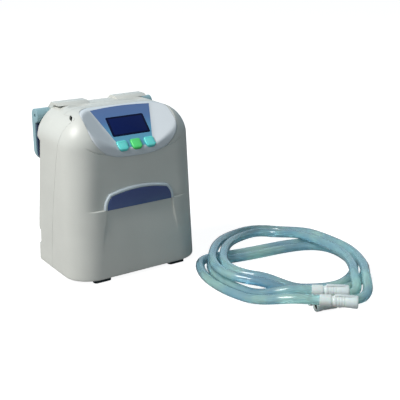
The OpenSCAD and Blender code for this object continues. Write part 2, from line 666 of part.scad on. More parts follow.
module switch_frame() color(rubber_black) difference() {
  union() {
    translate([switch_x, channel_y, port_z]) rotate([90, 0, 0]) {
      translate([0, 0, -1.2]) linear_extrude(1.2) offset(r = 1.5)
          square([switch_size[0], switch_size[1] - 1.4], center = true);
      translate([-switch_size[0] / 2, -switch_size[1] / 2, 0]) cube([switch_size[0], switch_size[1], 12]);
      for (x = [-5, 0, 5]) translate([x - 2, -0.4, 11]) cube([4, 0.8, 7]);
    }
  }
  port(switch_x, [15, 9.6], pivot_y - 4.2, channel_y + 5);
  translate([switch_x, pivot_y, port_z - 5.9]) cylinder(r = 1.25, h = 11.8);
}
module power_rocker() color(rubber_black) translate([switch_x, pivot_y, port_z])
    rotate([0, 0, -rocker_tilt]) {
  translate([0, 0, -4.5]) linear_extrude(9)
    polygon([[-6.8, -2.4], [6.8, -2.4], [6.8, 2.6], [3.4, 2.1], [0, 1.9], [-3.4, 2.1], [-6.8, 2.6]]);
  translate([0, 0, -5.7]) cylinder(r = 1.2, h = 11.4);
}

// ---------- inside the case ----------
floor_z = foot_h + wall;
sheet_t = 1.5;
deck_z = floor_z + 0.05 + sheet_t;         // upper face of the chassis' base
chassis_half = 58.5;
chassis_front = y_front + 10;
chassis_back = channel_y - wall - 3.8;     // rear face of the chassis' back sheet
back_top = 130;
bridge_z = deck_z + 67;
card_y = chassis_back - sheet_t - 5;       // front face of the two upright boards, at the back of the case
card_x = [[-56, -3], [3, 56]];
card_z = [58, 126];
card_pins = [for (c = card_x, x = [4, 49], z = [card_z[0] + 4, card_z[1] - 4]) [c[0] + x, z]];
comp_x = 18.5;                              // middle of the compressor
comp_y = y_front + 35;
comp_w = 34;
comp_base = deck_z + 6;
rod_z = comp_base + 20;
rod_r = 3;
rod_travel = 1.5;
plate_x = 24;                              // inner faces of the compressor's end plates, from its middle
head_l = 11;
head_x = plate_x + 2;
tank_r = 13;
tank_half = 55;
tank_z = bridge_z + sheet_t + tank_r;
nipple_x = head_x + head_l / 2;
feed_x = (socket_x[0] + socket_x[1]) / 2;
block_y = [channel_y + socket_flange - socket_l - 23, channel_y + socket_flange - socket_l - 11];
block_top = port_z + 9;
valve_y = (block_y[0] + block_y[1]) / 2;
valve_h = 24;
plunger_r = 3;
plunger_lift = 1.2;

module side_sheet() rotate([90, 0, 90]) linear_extrude(sheet_t) polygon([
  [chassis_front + 9, deck_z - sheet_t], [chassis_back, deck_z - sheet_t], [chassis_back, back_top],
  [chassis_back - 8, back_top], [comp_y + 27, bridge_z + sheet_t], [chassis_front + 9, bridge_z + sheet_t]]);
module chassis() color(metal) difference() {
  union() {
    translate([0, 0, deck_z - sheet_t]) linear_extrude(sheet_t) {
      translate([-chassis_half, chassis_front + 22]) square([2 * chassis_half, chassis_back
          - chassis_front - 22]);
      translate([-chassis_half + 22, chassis_front]) square([2 * (chassis_half - 22), 30]);
      for (m = [-1, 1]) translate([m * (chassis_half - 22), chassis_front + 22]) circle(r = 22);
    }
    translate([-chassis_half, chassis_back - sheet_t, deck_z - sheet_t])
      cube([2 * chassis_half, sheet_t, back_top - deck_z + sheet_t]);
    translate([chassis_half - sheet_t, 0, 0]) side_sheet();
    translate([-chassis_half, 0, 0]) side_sheet();
    translate([-chassis_half, chassis_front + 9, bridge_z])
      cube([2 * chassis_half, comp_y + 27 - chassis_front - 9, sheet_t]);
    for (p = card_pins) translate([p[0], card_y + 1.6, p[1]]) rotate([-90, 0, 0]) cylinder(r = 2.2, h = 4);
  }
  // window round the channel's floor
  translate([-chassis_half + 3, chassis_back - 4, deck_z + 8])
    cube([2 * chassis_half - 6, 8, channel_top + wall + 2 - deck_z - 8]);
  for (x = [comp_x - nipple_x, comp_x + nipple_x]) translate([x, comp_y, bridge_z - 1])
      cylinder(r = 4.2, h = 5);
  for (m = [-1, 1], z = [24, 46]) translate([m * chassis_half, comp_y, z]) rotate([0, 90, 0])
    cylinder(r = 7, h = 10, center = true);
  translate([feed_x, valve_y, bridge_z - 1]) cylinder(r = feed_r + 0.5, h = 5);
}
cell_r = 9.2;
module battery_pack() color(panel_blue) translate([-chassis_half + sheet_t + 1 + 2 * cell_r, comp_y,
    deck_z]) {
  linear_extrude(65) {
    for (x = [-1, 1], y = [-1, 1]) translate([x * cell_r, y * cell_r]) circle(r = cell_r);
    square([4 * cell_r, 2 * cell_r], center = true);
    square([2 * cell_r, 4 * cell_r], center = true);
  }
  translate([-4, -4, 64]) cube([8, 8, 1.8]);
}
module on_compressor() translate([comp_x, comp_y, 0]) children();
module compressor_frame() color(metal) on_compressor() difference() {
  union() {
    translate([-head_x - head_l, -comp_w / 2, comp_base]) cube([2 * (head_x + head_l), comp_w, 2]);
    for (x = [-head_x, plate_x]) translate([x, -comp_w / 2, comp_base]) cube([2, comp_w, 40]);
    translate([-head_x, -comp_w / 2, comp_base + 38]) cube([2 * head_x, comp_w, 2]);
  }
  translate([-head_x - 1, 0, rod_z]) rotate([0, 90, 0]) cylinder(r = rod_r + 0.05, h = 2 * head_x + 2);
  for (x = [-plate_x + 8, plate_x - 8], y = [-9, 9]) translate([x, y, comp_base + 30])
      cylinder(r = 3, h = 20);
}
module compressor_coils() color(copper) on_compressor() for (m = [-1, 1])
  translate([0, 0, rod_z + m * 12.5]) {
    for (z = [-5.4, 4.2]) translate([0, 0, z]) cylinder(r = 13, h = 1.2);
    cylinder(r = 11.5, h = 9, center = true);
  }
module armature() color(metal) on_compressor() translate([0, 0, rod_z]) {
  rotate([0, 90, 0]) cylinder(r = rod_r, h = 2 * (head_x + 5), center = true);
  translate([-10, -8, -5.5]) cube([20, 16, 11]);
}
module diaphragm_head(m) color(rubber_black) on_compressor() translate([m * head_x, 0, rod_z])
    rotate([0, m * 90, 0])
  difference() {
    union() {
      cylinder(r1 = comp_w / 2, r2 = comp_w / 2 - 3, h = head_l);
      rotate([0, m * -90, 0]) translate([m * head_l / 2, 0, 0]) cylinder(r = barb_r, h = comp_w / 2 + 6);
    }
    translate([0, 0, -1]) cylinder(r = rod_r + 2, h = head_l - 1);
  }
module diaphragm_head_left() diaphragm_head(-1);
module diaphragm_head_right() diaphragm_head(1);
module compressor_mounts() color(rubber_black) on_compressor() for (x = [-31, 31], y = [-11, 11])
  translate([x, y, deck_z]) { cylinder(r = 5, h = comp_base - deck_z - 0.02); }
module air_reservoir() color(nylon_white) translate([0, comp_y, tank_z]) {
  rotate([0, 90, 0]) cylinder(r = tank_r, h = 2 * tank_half - 12, center = true);
  for (m = [-1, 1]) translate([m * (tank_half - 6), 0, 0]) rotate([0, m * 90, 0])
      cylinder(r1 = tank_r, r2 = tank_r - 5, h = 6);
  for (x = [comp_x - nipple_x, comp_x + nipple_x]) translate([x, 0, -tank_r - 5]) cylinder(r = barb_r, h = 9);
  translate([feed_x, 0, 0]) rotate([-90, 0, 0]) cylinder(r = barb_r, h = tank_r + 5);
}
bend_r = 6;
feed_r = 3.3;
module feed_tube() color(nylon_white) {
  for (x = [comp_x - nipple_x, comp_x + nipple_x])
    translate([x, comp_y, rod_z + comp_w / 2 + 1]) difference() {
      cylinder(r = 3.6, h = bridge_z - rod_z - comp_w / 2 - 2);
      translate([0, 0, -1]) cylinder(r = barb_r + 0.05, h = 60);
    }
  difference() {
    union() {
      translate([feed_x, comp_y + tank_r + 1, tank_z]) rotate([-90, 0, 0])
          cylinder(r = feed_r, h = valve_y - bend_r - comp_y - tank_r - 1);
      translate([feed_x, valve_y - bend_r, tank_z - bend_r]) rotate([90, 0, 90])
          rotate_extrude(angle = 90) translate([bend_r, 0]) circle(r = feed_r);
      translate([feed_x, valve_y, block_top + 0.5]) cylinder(r = feed_r, h = tank_z - bend_r - block_top
          - 0.5);
    }
    translate([feed_x, comp_y + tank_r, tank_z]) rotate([-90, 0, 0]) cylinder(r = barb_r + 0.05, h = 6.2);
    translate([feed_x, valve_y, block_top]) cylinder(r = barb_r + 0.05, h = 7);
  }
}
module valve_manifold() color(nylon_white) {
  translate([socket_x[0] - 10, block_y[0], deck_z]) cube([socket_pitch + 20, block_y[1] - block_y[0],
      block_top - deck_z]);
  for (x = socket_x) translate([x, block_y[1] - 1, port_z]) rotate([-90, 0, 0]) cylinder(r = barb_r, h = 5);
  translate([feed_x, valve_y, block_top - 1]) cylinder(r = barb_r, h = 6);
}
module valve_coil(x) color(copper) translate([x, valve_y, block_top]) difference() {
  union() {
    cylinder(r = 7, h = valve_h);
    for (z = [0, valve_h - 1.5]) translate([0, 0, z]) cylinder(r = 7.4, h = 1.5);
  }
  translate([0, 0, -1]) cylinder(r = plunger_r + 0.05, h = valve_h - 1);
}
module valve_coil_left() valve_coil(socket_x[0]);
module valve_coil_right() valve_coil(socket_x[1]);
module valve_plunger(x) color(metal) translate([x, valve_y, block_top + 0.05])
  cylinder(r = plunger_r, h = valve_h - 2 - plunger_lift - 0.3);
module valve_plunger_left() valve_plunger(socket_x[0]);
module valve_plunger_right() valve_plunger(socket_x[1]);
module card(c) translate([c[0], card_y, card_z[0]]) cube([c[1] - c[0], 1.6, card_z[1] - card_z[0]]);
module main_board() color(board_green) {
  card(card_x[0]);
  translate([card_x[0][0] + 12, card_y - 2, 98]) cube([14, 2.1, 14]);
  translate([card_x[0][0] + 34, card_y - 6, 74]) cube([12, 6.1, 24]);
  for (x = [8, 20]) translate([card_x[0][0] + x, card_y + 0.1, 80]) rotate([90, 0, 0]) cylinder(r = 4, h = 8);
}
module power_board() color(board_green) {
  card(card_x[1]);
  translate([card_x[1][0] + 6, card_y - 14, 72]) cube([24, 14.1, 26]);
  for (x = [38, 47], z = [76, 90]) translate([card_x[1][0] + x, card_y + 0.1, z]) rotate([90, 0, 0])
      cylinder(r = 4, h = 14);
  translate([card_x[1][0] + 10, card_y - 8, 108]) cube([32, 8.1, 9]);
}

// ---------- hoses ----------
// The pair lies in two rings, the second one over the first at both ends of the coil. Route points are
// [along the coil, across it, height]; the coil's length runs at coil_turn to the front of the pump.
coil_turn = -34.6;
coil_mid = [191, -56];
ring_one = [88, 75];                       // half length and half width of the first ring
ring_two = [76, 84];
turns = [0.11, 1.82];                      // where the rings start and end
rings_a_turn = 24;
hose_low = hose_d / 2 + 0.1;
hose_high = hose_low + hose_d + 1.9;
near_z = 20;                               // height of the two connectors that lie on top
near_ends = [[[211, -137], [248, -140]], [[216, -160], [253, -166]]];
far_z = connector_d / 2 + 0.1;
far_ends = [[[245, -119], [207, -132]], [[250, -133], [212, -146]]];

function coil_plan(u) =
  let (k = ease(0.76, 1, u), m = ease(1.7, 1.93, u), t = -85 - 360 * u, c = cos(t), s = sin(t))
  [coil_mid[0] + 2 * k + (ring_one[0] * (1 - k) + ring_two[0] * k + 12 * m) * c,
   coil_mid[1] + 33 * k - 30 * m + (ring_one[1] * (1 - k) + ring_two[1] * k - 16 * m) * s
     + (20 - 40 * k) * c * c + (43 - 78 * k) * c * pow(max(s, 0), 1.5)];
function coil_height(u) = hose_low + (hose_high - hose_low)
  * (ease(0.98, 1.09, u) - 0.6 * ease(1.3, 1.42, u) + 0.6 * ease(1.5, 1.6, u));
function coil_point(u, off) =
  let (p = coil_plan(u), t = unit(coil_plan(u + 0.002) - coil_plan(u - 0.002)))
  [p[0] - t[1] * off, p[1] + t[0] * off, coil_height(u)];
function bezier(a, b, c, d, n) = [for (i = [1 : n - 1]) let (t = i / n, s = 1 - t)
  s * s * s * a + 3 * s * s * t * b + 3 * s * t * t * c + t * t * t * d];
function lead(p, z) = [concat(p[0], z), concat(p[1], z)];
// From a connector, straight for one diameter, then round in a curve to the ring
function route(k) =
  let (off = (k - 0.5) * (hose_d + hose_gap),
    count = round((turns[1] - turns[0]) * rings_a_turn),
    ring = [for (i = [0 : count]) coil_point(turns[0] + (turns[1] - turns[0]) * i / count, off)],
    near = lead(near_ends[k], near_z),
    far = lead(far_ends[k], far_z),
    out = unit(near[0] - near[1]),
    back = unit(far[0] - far[1]),
    a = near[0] + out * hose_d,
    z = far[0] + back * hose_d,
    ta = unit(ring[1] - ring[0]),
    tz = unit(ring[count] - ring[count - 1]),
    la = norm(ring[0] - a) * 0.4,
    lz = norm(z - ring[count]) * 0.4)
  concat([near[0], a], bezier(a, a + out * la, ring[0] - ta * la, ring[0], 6), ring,
    bezier(ring[count], ring[count] + tz * lz, z + back * lz, z, 5), [z, far[0]]);
function turned(p) = [for (q = p)
  [q[0] * cos(coil_turn) - q[1] * sin(coil_turn), q[0] * sin(coil_turn) + q[1] * cos(coil_turn), q[2]]];

// Least gap of a tube to itself, or between two tubes, measured on points along their middles
function fine(p, n) = [for (i = [0 : len(p) - 2], k = [0 : n - 1]) p[i] + (p[i + 1] - p[i]) * k / n];
function self_gap(p, skip) = min([for (i = [0 : len(p) - skip - 1], j = [i + skip : len(p) - 1])
    norm(p[i] - p[j])]) - hose_d;
function pair_gap(p, q) = min([for (a = p, b = q) norm(a - b)]) - hose_d;
echo(hose_left_gap_to_itself = self_gap(fine(route(0), 3), 9));
echo(hose_right_gap_to_itself = self_gap(fine(route(1), 3), 9));
echo(gap_between_the_hoses = pair_gap(fine(route(0), 3), fine(route(1), 3)));
function run(p) = len(p) < 2 ? 0 : norm(p[1] - p[0]) + run([for (i = [1 : len(p) - 1]) p[i]]);
echo(hose_lengths = [run(route(0)), run(route(1))]);

module hose(k) color(hose_aqua) tube(turned(route(k)), hose_d / 2, 6);
module hose_left() hose(0);
module hose_right() hose(1);

mouth_r = connector_d / 2 - 2.2;
seal_depth = 1.6;
module at_end(ends, z) {
  p = turned(lead(ends, z));
  v = p[1] - p[0];
  translate(p[0]) rotate([0, 90, atan2(v[1], v[0])]) translate([0, 0, 0.05]) children();
}
module connector(ends, z) color(nylon_white) at_end(ends, z) rotate_extrude() {
  r = connector_d / 2;
  l = connector_l - 4;
  polygon([[0, 0], [r - 0.6, 0], [r - 0.4, 11], [r - 1.4, 12], [r - 1.4, 13.5], [r - 0.5, 14.5],
      [r - 0.5, l - 8],
    [r, l - 5], [r, l - 1], [r - 0.6, l], [mouth_r, l], [mouth_r, l - 12], [1.5, l - 12], [1.5, 1], [0, 1]]);
}
module connector_left() connector(near_ends[0], near_z);
module connector_right() connector(near_ends[1], near_z);
module end_connector_left() connector(far_ends[0], far_z);
module end_connector_right() connector(far_ends[1], far_z);
module seal() translate([0, 0, connector_l - 4 - seal_depth - 0.5]) rotate_extrude($fn = 32)
  translate([mouth_r - 0.85, 0]) circle(r = 0.8, $fn = 16);
module connector_seals() color(rubber_black) for (k = [0, 1]) {
  at_end(near_ends[k], near_z) seal();
  at_end(far_ends[k], far_z) seal();
}

// ---------- every piece ----------
front_housing();
rear_housing();
console_bezel();
console_panel();
display_window();
button_left();
button_centre();
button_right();
name_plate();
name_plate_rim();
hinge_lug_left();
hinge_lug_right();
hook_pin();
hook_spring();
bed_hook();
hook_pad();
feet();
case_screws();
hose_socket_left();
hose_socket_right();
mains_inlet();
switch_frame();
power_rocker();
control_board();
display_module();
key_switches();
buzzer();
chassis();
battery_pack();
compressor_frame();
compressor_coils();
armature();
diaphragm_head_left();
diaphragm_head_right();
compressor_mounts();
air_reservoir();
valve_manifold();
valve_coil_left();
valve_coil_right();
valve_plunger_left();
valve_plunger_right();
outlet_tubes();
feed_tube();
main_board();
power_board();
hose_left();
hose_right();
connector_left();
connector_right();
end_connector_left();
end_connector_right();
connector_seals();
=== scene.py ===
"""The compression therapy pump and its pair of air hoses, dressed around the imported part.

Shapes are worked out in millimetres and written to the meshes in metres. +Z is up and the front faces -Y.
"""
import math

import bmesh
import bpy
from mathutils import Matrix, Vector
from mathutils.bvhtree import BVHTree


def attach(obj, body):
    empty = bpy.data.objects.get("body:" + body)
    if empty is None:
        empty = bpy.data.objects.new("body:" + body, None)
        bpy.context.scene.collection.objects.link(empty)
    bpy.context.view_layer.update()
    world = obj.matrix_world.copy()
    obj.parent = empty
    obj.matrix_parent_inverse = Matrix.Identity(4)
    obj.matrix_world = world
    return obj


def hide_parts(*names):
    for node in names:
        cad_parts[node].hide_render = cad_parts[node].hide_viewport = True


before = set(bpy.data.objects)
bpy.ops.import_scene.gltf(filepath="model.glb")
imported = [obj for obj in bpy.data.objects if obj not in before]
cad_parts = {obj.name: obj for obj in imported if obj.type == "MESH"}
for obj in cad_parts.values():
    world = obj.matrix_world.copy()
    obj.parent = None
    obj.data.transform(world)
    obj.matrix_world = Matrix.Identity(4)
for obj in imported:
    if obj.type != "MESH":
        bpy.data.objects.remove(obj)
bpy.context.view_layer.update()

MM = 0.001
DEG = math.pi / 180


# ---------- camera, light, floor ----------
def srgb(r, g, b):
    """A colour read off a screen, 0 to 255, as the linear one that a shader takes."""
    return tuple(c / 12.92 if c <= 0.04045 else ((c + 0.055) / 1.055) ** 2.4
                 for c in (r / 255, g / 255, b / 255)) + (1,)


def make_camera():
    lens = bpy.data.cameras.new("camera")
    lens.lens = 73.28
    lens.sensor_width = 36
    lens.clip_end = 20
    camera = bpy.data.objects.new("camera", lens)
    camera.location = (-0.4324, -0.79715, 0.3670)
    camera.rotation_euler = ((90 - 18.0855) * DEG, 0, -34.5955 * DEG)
    bpy.context.collection.objects.link(camera)
    bpy.context.scene.camera = camera


def area_light(name, place, aim, size, power, colour):
    lamp = bpy.data.lights.new(name, "AREA")
    lamp.shape = "DISK"
    lamp.size = size
    lamp.energy = power
    lamp.color = colour
    piece = bpy.data.objects.new(name, lamp)
    piece.location = place
    piece.rotation_euler = (Vector(aim) - Vector(place)).to_track_quat("-Z", "Y").to_euler()
    bpy.context.collection.objects.link(piece)


# ---------- shader maths ----------
class Value:
    """A number that varies over a surface. Sums, products and powers of it add Math nodes."""

    def __init__(self, finish, socket):
        self.finish = finish
        self.socket = socket

    def maths(self, operation, *terms):
        socket = self.finish.node("Math", {"operation": operation}, dict(enumerate(terms)))
        return Value(self.finish, socket)

    def __add__(self, other):
        return self.maths("ADD", self, other)

    def __sub__(self, other):
        return self.maths("SUBTRACT", self, other)

    def __rsub__(self, other):
        return self.maths("SUBTRACT", other, self)

    def __mul__(self, other):
        return self.maths("MULTIPLY", self, other)

    def __truediv__(self, other):
        return self.maths("DIVIDE", self, other)

    def __pow__(self, other):
        return self.maths("POWER", self, other)

    __radd__ = __add__
    __rmul__ = __mul__

    def wave(self):
        return self.maths("SINE", self)

    def size(self):
        return self.maths("ABSOLUTE", self)

    def part(self):
        return self.maths("FRACT", self)

    def over(self, level):
        return self.maths("GREATER_THAN", self, level)

    def least(self, other):
        return self.maths("MINIMUM", self, other)

    def most(self, other):
        return self.maths("MAXIMUM", self, other)

    def between(self, low, high):
        """0 below low, 1 above high, and smooth between them."""
        socket = self.finish.node("MapRange", {"interpolation_type": "SMOOTHSTEP"},
                                  {0: self, 1: low, 2: high})
        return Value(self.finish, socket)


class Finish:
    """A material in the making: one Principled shader and the nodes that feed it."""

    def __init__(self, name, colour, roughness, **fixed):
        self.material = bpy.data.materials.new(name)
        self.material.use_nodes = True
        self.tree = self.material.node_tree
        self.shader = self.tree.nodes["Principled BSDF"]
        self.colour = srgb(*colour)
        self.material.diffuse_color = self.colour
        self.shader.inputs["Base Color"].default_value = self.colour
        self.shader.inputs["Roughness"].default_value = roughness
        for key, value in fixed.items():
            self.shader.inputs[key.replace("_", " ").title().replace("Ior", "IOR")].default_value = value
        self.bumps = None

    def node(self, kind, settings=None, inputs=None, out=0):
        made = self.tree.nodes.new("ShaderNode" + kind)
        for key, value in (settings or {}).items():
            if key == "stops":
                ramp = made.color_ramp
                while len(ramp.elements) < len(value):
                    ramp.elements.new(1)
                for stop, (place, colour) in zip(ramp.elements, value):
                    stop.position = place
                    stop.color = colour
            else:
                setattr(made, key, value)
        for key, value in (inputs or {}).items():
            self.feed(made.inputs[key], value)
        return made.outputs[out]

    def feed(self, socket, value):
        if isinstance(value, Value):
            value = value.socket
        if isinstance(value, bpy.types.NodeSocket):
            self.tree.links.new(value, socket)
        else:
            socket.default_value = value

    def place(self, scale=(1, 1, 1), turn=(0, 0, 0), shift=(0, 0, 0)):
        """Object coordinates, scaled, then turned, then shifted."""
        coordinates = self.node("TexCoord", out=3)
        return self.node("Mapping", None, {0: coordinates, 1: shift, 2: turn, 3: scale})

    def axes(self, vector):
        """The three numbers of a vector."""
        split = self.tree.nodes.new("ShaderNodeSeparateXYZ")
        self.tree.links.new(vector, split.inputs[0])
        return [Value(self, s) for s in split.outputs]

    def noise(self, scale, detail=2.0, roughness=0.5, vector=None, stretch=None):
        if vector is None:
            vector = self.place(scale=stretch or (1, 1, 1))
        socket = self.node("TexNoise", None,
                           {"Vector": vector, "Scale": scale, "Detail": detail, "Roughness": roughness})
        return Value(self, socket)

    def cells(self, scale, feature="F1", vector=None):
        socket = self.node("TexVoronoi", {"feature": feature},
                           {"Vector": vector or self.place(), "Scale": scale})
        return Value(self, socket)

    def mix(self, a, b, amount, blend="MIX"):
        """Colour a turning to b as amount goes from 0 to 1."""
        return self.node("Mix", {"data_type": "RGBA", "blend_type": blend}, {0: amount, 6: a, 7: b}, out=2)

    def paint(self, colour):
        self.feed(self.shader.inputs["Base Color"], colour)

    def rough(self, value):
        self.feed(self.shader.inputs["Roughness"], value)

    def bump(self, height, depth, strength=1.0):
        """A relief of that depth in metres."""
        inputs = {"Height": height, "Distance": depth, "Strength": strength}
        if self.bumps is not None:
            inputs["Normal"] = self.bumps
        self.bumps = self.node("Bump", None, inputs)
        self.feed(self.shader.inputs["Normal"], self.bumps)


def tinted(finish, spread, scale, detail=3):
    """The base colour, a little lighter and darker in soft patches."""
    patches = finish.noise(scale, detail)
    dark = tuple(c * (1 - spread) for c in finish.colour[:3]) + (1,)
    light = tuple(min(c * (1 + spread), 1) for c in finish.colour[:3]) + (1,)
    return finish.mix(dark, light, patches.between(0.3, 0.7))


def moulded(name, colour, roughness=0.42, grain=1500, relief=0.00003, spread=0.03, **fixed):
    """Moulded plastic with the spark-eroded grain of its tool, faint flow marks and handling marks."""
    finish = Finish(name, colour, roughness, **fixed)
    base = tinted(finish, spread, 22)
    marks = finish.noise(90, 5, 0.7).between(0.58, 0.75)
    scuffs = finish.noise(60, 4, 0.6, stretch=(1, 1, 9)).between(0.66, 0.78)
    finish.paint(finish.mix(base, tuple(c * 0.9 for c in finish.colour[:3]) + (1,), marks * 0.25))
    finish.rough(marks * 0.06 + scuffs * 0.05 + (finish.noise(8, 2) * 0.08 + (roughness - 0.05)))
    finish.bump(finish.noise(grain, 3, 0.6), relief)
    return finish


def rubber(name, colour, roughness=0.62):
    finish = Finish(name, colour, roughness, specular_ior_level=0.35)
    dust = finish.noise(120, 5, 0.7).between(0.5, 0.8)
    finish.paint(finish.mix(finish.colour, srgb(96, 104, 106), dust * 0.22))
    finish.rough(dust * 0.12 + roughness)
    finish.bump(finish.noise(2200, 2), 0.00003)
    return finish


def brushed(name, colour, roughness=0.34, stretch=(1, 1, 40)):
    finish = Finish(name, colour, roughness, metallic=1.0)
    lines = finish.noise(700, 3, 0.6, stretch=stretch)
    finish.paint(finish.mix(tuple(c * 0.82 for c in finish.colour[:3]) + (1,), finish.colour,
                            lines.between(0.3, 0.7)))
    finish.rough(lines * 0.16 + (roughness - 0.08))
    finish.bump(lines, 0.00001)
    return finish


def circuit_board(name):
    finish = Finish(name, (24, 92, 62), 0.34)
    x, y, z = finish.axes(finish.place(scale=(1000, 1000, 1000)))
    tracks = (x * 0.9).part().least((z * 0.7).part())
    ways = finish.noise(160, 0, vector=finish.place(scale=(1, 1, 1))).over(0.5)
    lines = (1 - tracks.between(0.08, 0.16)) * ways
    pads = (1 - finish.cells(330).between(0.12, 0.2)) * finish.noise(90).over(0.52)
    board = finish.mix(finish.colour, srgb(52, 134, 88), lines * 0.8)
    finish.paint(finish.mix(board, srgb(206, 196, 168), pads))
    finish.rough(0.42 - pads * 0.16)
    finish.bump(lines + pads, 0.00004)
    return finish


def windings(name):
    finish = Finish(name, (186, 104, 52), 0.3, metallic=0.85)
    x, y, z = finish.axes(finish.place(scale=(1000, 1000, 1000)))
    # Painted shade: the copper darkens in the grooves between the turns; the same wave also makes their
    # relief.
    turns_of_wire = (z * (2 * math.pi / 0.45)).wave() * 0.5 + 0.5
    finish.paint(finish.mix(srgb(112, 52, 26), finish.colour, turns_of_wire))
    finish.rough(finish.noise(400) * 0.2 + 0.22)
    finish.bump(turns_of_wire, 0.0001)
    return finish


# ---------- making pieces ----------
def finished(name, bm, finish, body, replaces=(), sharp=32, merge=True):
    """A piece from a bmesh in millimetres: doubles merged, normals out, smooth up to the sharp angle."""
    if merge:
        bmesh.ops.remove_doubles(bm, verts=bm.verts, dist=1e-4)
        bmesh.ops.dissolve_degenerate(bm, edges=bm.edges, dist=1e-5)
    bmesh.ops.recalc_face_normals(bm, faces=bm.faces)
    bmesh.ops.scale(bm, vec=(MM, MM, MM), verts=bm.verts)
    for face in bm.faces:
        face.smooth = True
    mesh = bpy.data.meshes.new(name)
    bm.to_mesh(mesh)
    bm.free()
    mesh.set_sharp_from_angle(angle=sharp * DEG)
    mesh.materials.append(finish.material)
    piece = bpy.data.objects.new(name, mesh)
    bpy.context.collection.objects.link(piece)
    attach(piece, body)
    if replaces:
        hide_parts(*replaces)
    return piece


def sharp_edges(bm, angle):
    return [e for e in bm.edges if len(e.link_faces) == 2 and e.calc_face_angle(0) > angle * DEG]


def round_edges(bm, width, segments=2, angle=40, edges=None):
    picked = edges if edges is not None else sharp_edges(bm, angle)
    bmesh.ops.bevel(bm, geom=picked, offset=width, offset_type="OFFSET", segments=segments, profile=0.5,
                    affect="EDGES", clamp_overlap=True, material=-1)


def from_node(node, name, finish, body, width=0.3, segments=2, angle=40, extra=()):
    """A node's own shape with its edges rounded."""
    bm = bmesh.new()
    bm.from_mesh(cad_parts[node].data)
    bmesh.ops.scale(bm, vec=(1 / MM,) * 3, verts=bm.verts)
    bmesh.ops.remove_doubles(bm, verts=bm.verts, dist=1e-4)
    bmesh.ops.dissolve_limit(bm, angle_limit=2 * DEG, verts=bm.verts, edges=bm.edges)
    if width:
        round_edges(bm, width, segments, angle)
    return finished(name, bm, finish, body, (node,) + tuple(extra))


def loop_of(bm, points):
    verts = [bm.verts.new(p) for p in points]
    return [bm.edges.new((verts[i], verts[(i + 1) % len(verts)])) for i in range(len(verts))]


def lofted(rings):
    """A closed skin bridged through loops of points."""
    bm = bmesh.new()
    loops = [loop_of(bm, ring) for ring in rings]
    for a, b in zip(loops, loops[1:]):
        bmesh.ops.bridge_loops(bm, edges=a + b)
    for end in (loops[0], loops[-1]):
        bmesh.ops.contextual_create(bm, geom=end)
    bmesh.ops.recalc_face_normals(bm, faces=bm.faces)
    return bm


def extruded(outline, low, high, place=None):
    """A flat outline, given in its own x and y, raised from low to high."""
    bm = bmesh.new()
    edges = loop_of(bm, [(x, y, low) for x, y in outline])
    made = bmesh.ops.contextual_create(bm, geom=edges)
    up = bmesh.ops.extrude_face_region(bm, geom=made["faces"])
    bmesh.ops.translate(bm, vec=(0, 0, high - low),
                        verts=[v for v in up["geom"] if isinstance(v, bmesh.types.BMVert)])
    bmesh.ops.recalc_face_normals(bm, faces=bm.faces)
    if place is not None:
        bmesh.ops.transform(bm, matrix=place, verts=bm.verts)
    return bm


def box(x, y, z):
    """A block between pairs of limits."""
    bm = bmesh.new()
    size = Matrix.Diagonal((x[1] - x[0], y[1] - y[0], z[1] - z[0], 1))
    middle = Matrix.Translation(((x[0] + x[1]) / 2, (y[0] + y[1]) / 2, (z[0] + z[1]) / 2))
    bmesh.ops.create_cube(bm, size=1, matrix=middle @ size)
    return bm


def rod(start, end, radius, sides=48, end_radius=None):
    bm = bmesh.new()
    along = Vector(end) - Vector(start)
    place = Matrix.Translation((Vector(start) + Vector(end))
                               / 2) @ along.to_track_quat("Z", "Y").to_matrix().to_4x4()
    bmesh.ops.create_cone(bm, cap_ends=True, segments=sides, radius1=radius,
                          radius2=radius if end_radius is None else end_radius, depth=along.length,
                          matrix=place)
    return bm


def joined(*parts):
    bm = parts[0]
    for other in parts[1:]:
        mesh = bpy.data.meshes.new("part")
        other.to_mesh(mesh)
        other.free()
        bm.from_mesh(mesh)
        bpy.data.meshes.remove(mesh)
    return bm


def cut(bm, *steps):
    """Boolean steps, each a pair of an operation and a tool, on a closed shape."""
    def shown(shape, name):
        mesh = bpy.data.meshes.new(name)
        shape.to_mesh(mesh)
        shape.free()
        piece = bpy.data.objects.new(name, mesh)
        bpy.context.collection.objects.link(piece)
        return piece
    target = shown(bm, "blank")
    tools = []
    for operation, tool in steps:
        tools.append(shown(tool, "tool"))
        modifier = target.modifiers.new("cut", "BOOLEAN")
        modifier.operation = operation
        modifier.solver = "EXACT"
        modifier.object = tools[-1]
    bpy.context.view_layer.update()
    result = bpy.data.meshes.new_from_object(target.evaluated_get(bpy.context.evaluated_depsgraph_get()))
    out = bmesh.new()
    out.from_mesh(result)
    for piece in [target] + tools:
        mesh = piece.data
        bpy.data.objects.remove(piece)
        bpy.data.meshes.remove(mesh)
    bpy.data.meshes.remove(result)
    return out


make_camera()

# ---------- the air hoses ----------
HOSE_D = 10.5
HOSE_GAP = 2
CONNECTOR_D = 13
CONNECTOR_L = 42
COIL_TURN = -34.6
COIL_MID = (191, -56)
RING_ONE = (88, 75)
RING_TWO = (76, 84)
TURNS = (0.11, 1.82)
STEPS_A_TURN = 60
HOSE_LOW = HOSE_D / 2 + 0.1
HOSE_HIGH = HOSE_LOW + HOSE_D + 1.9
NEAR_Z = 20
NEAR_ENDS = (((211, -137), (248, -140)), ((216, -160), (253, -166)))
FAR_Z = CONNECTOR_D / 2 + 0.1
FAR_ENDS = (((245, -119), (207, -132)), ((250, -133), (212, -146)))


def ease(a, b, v):
    t = min(max((v - a) / (b - a), 0), 1)
    return t * t * (3 - 2 * t)


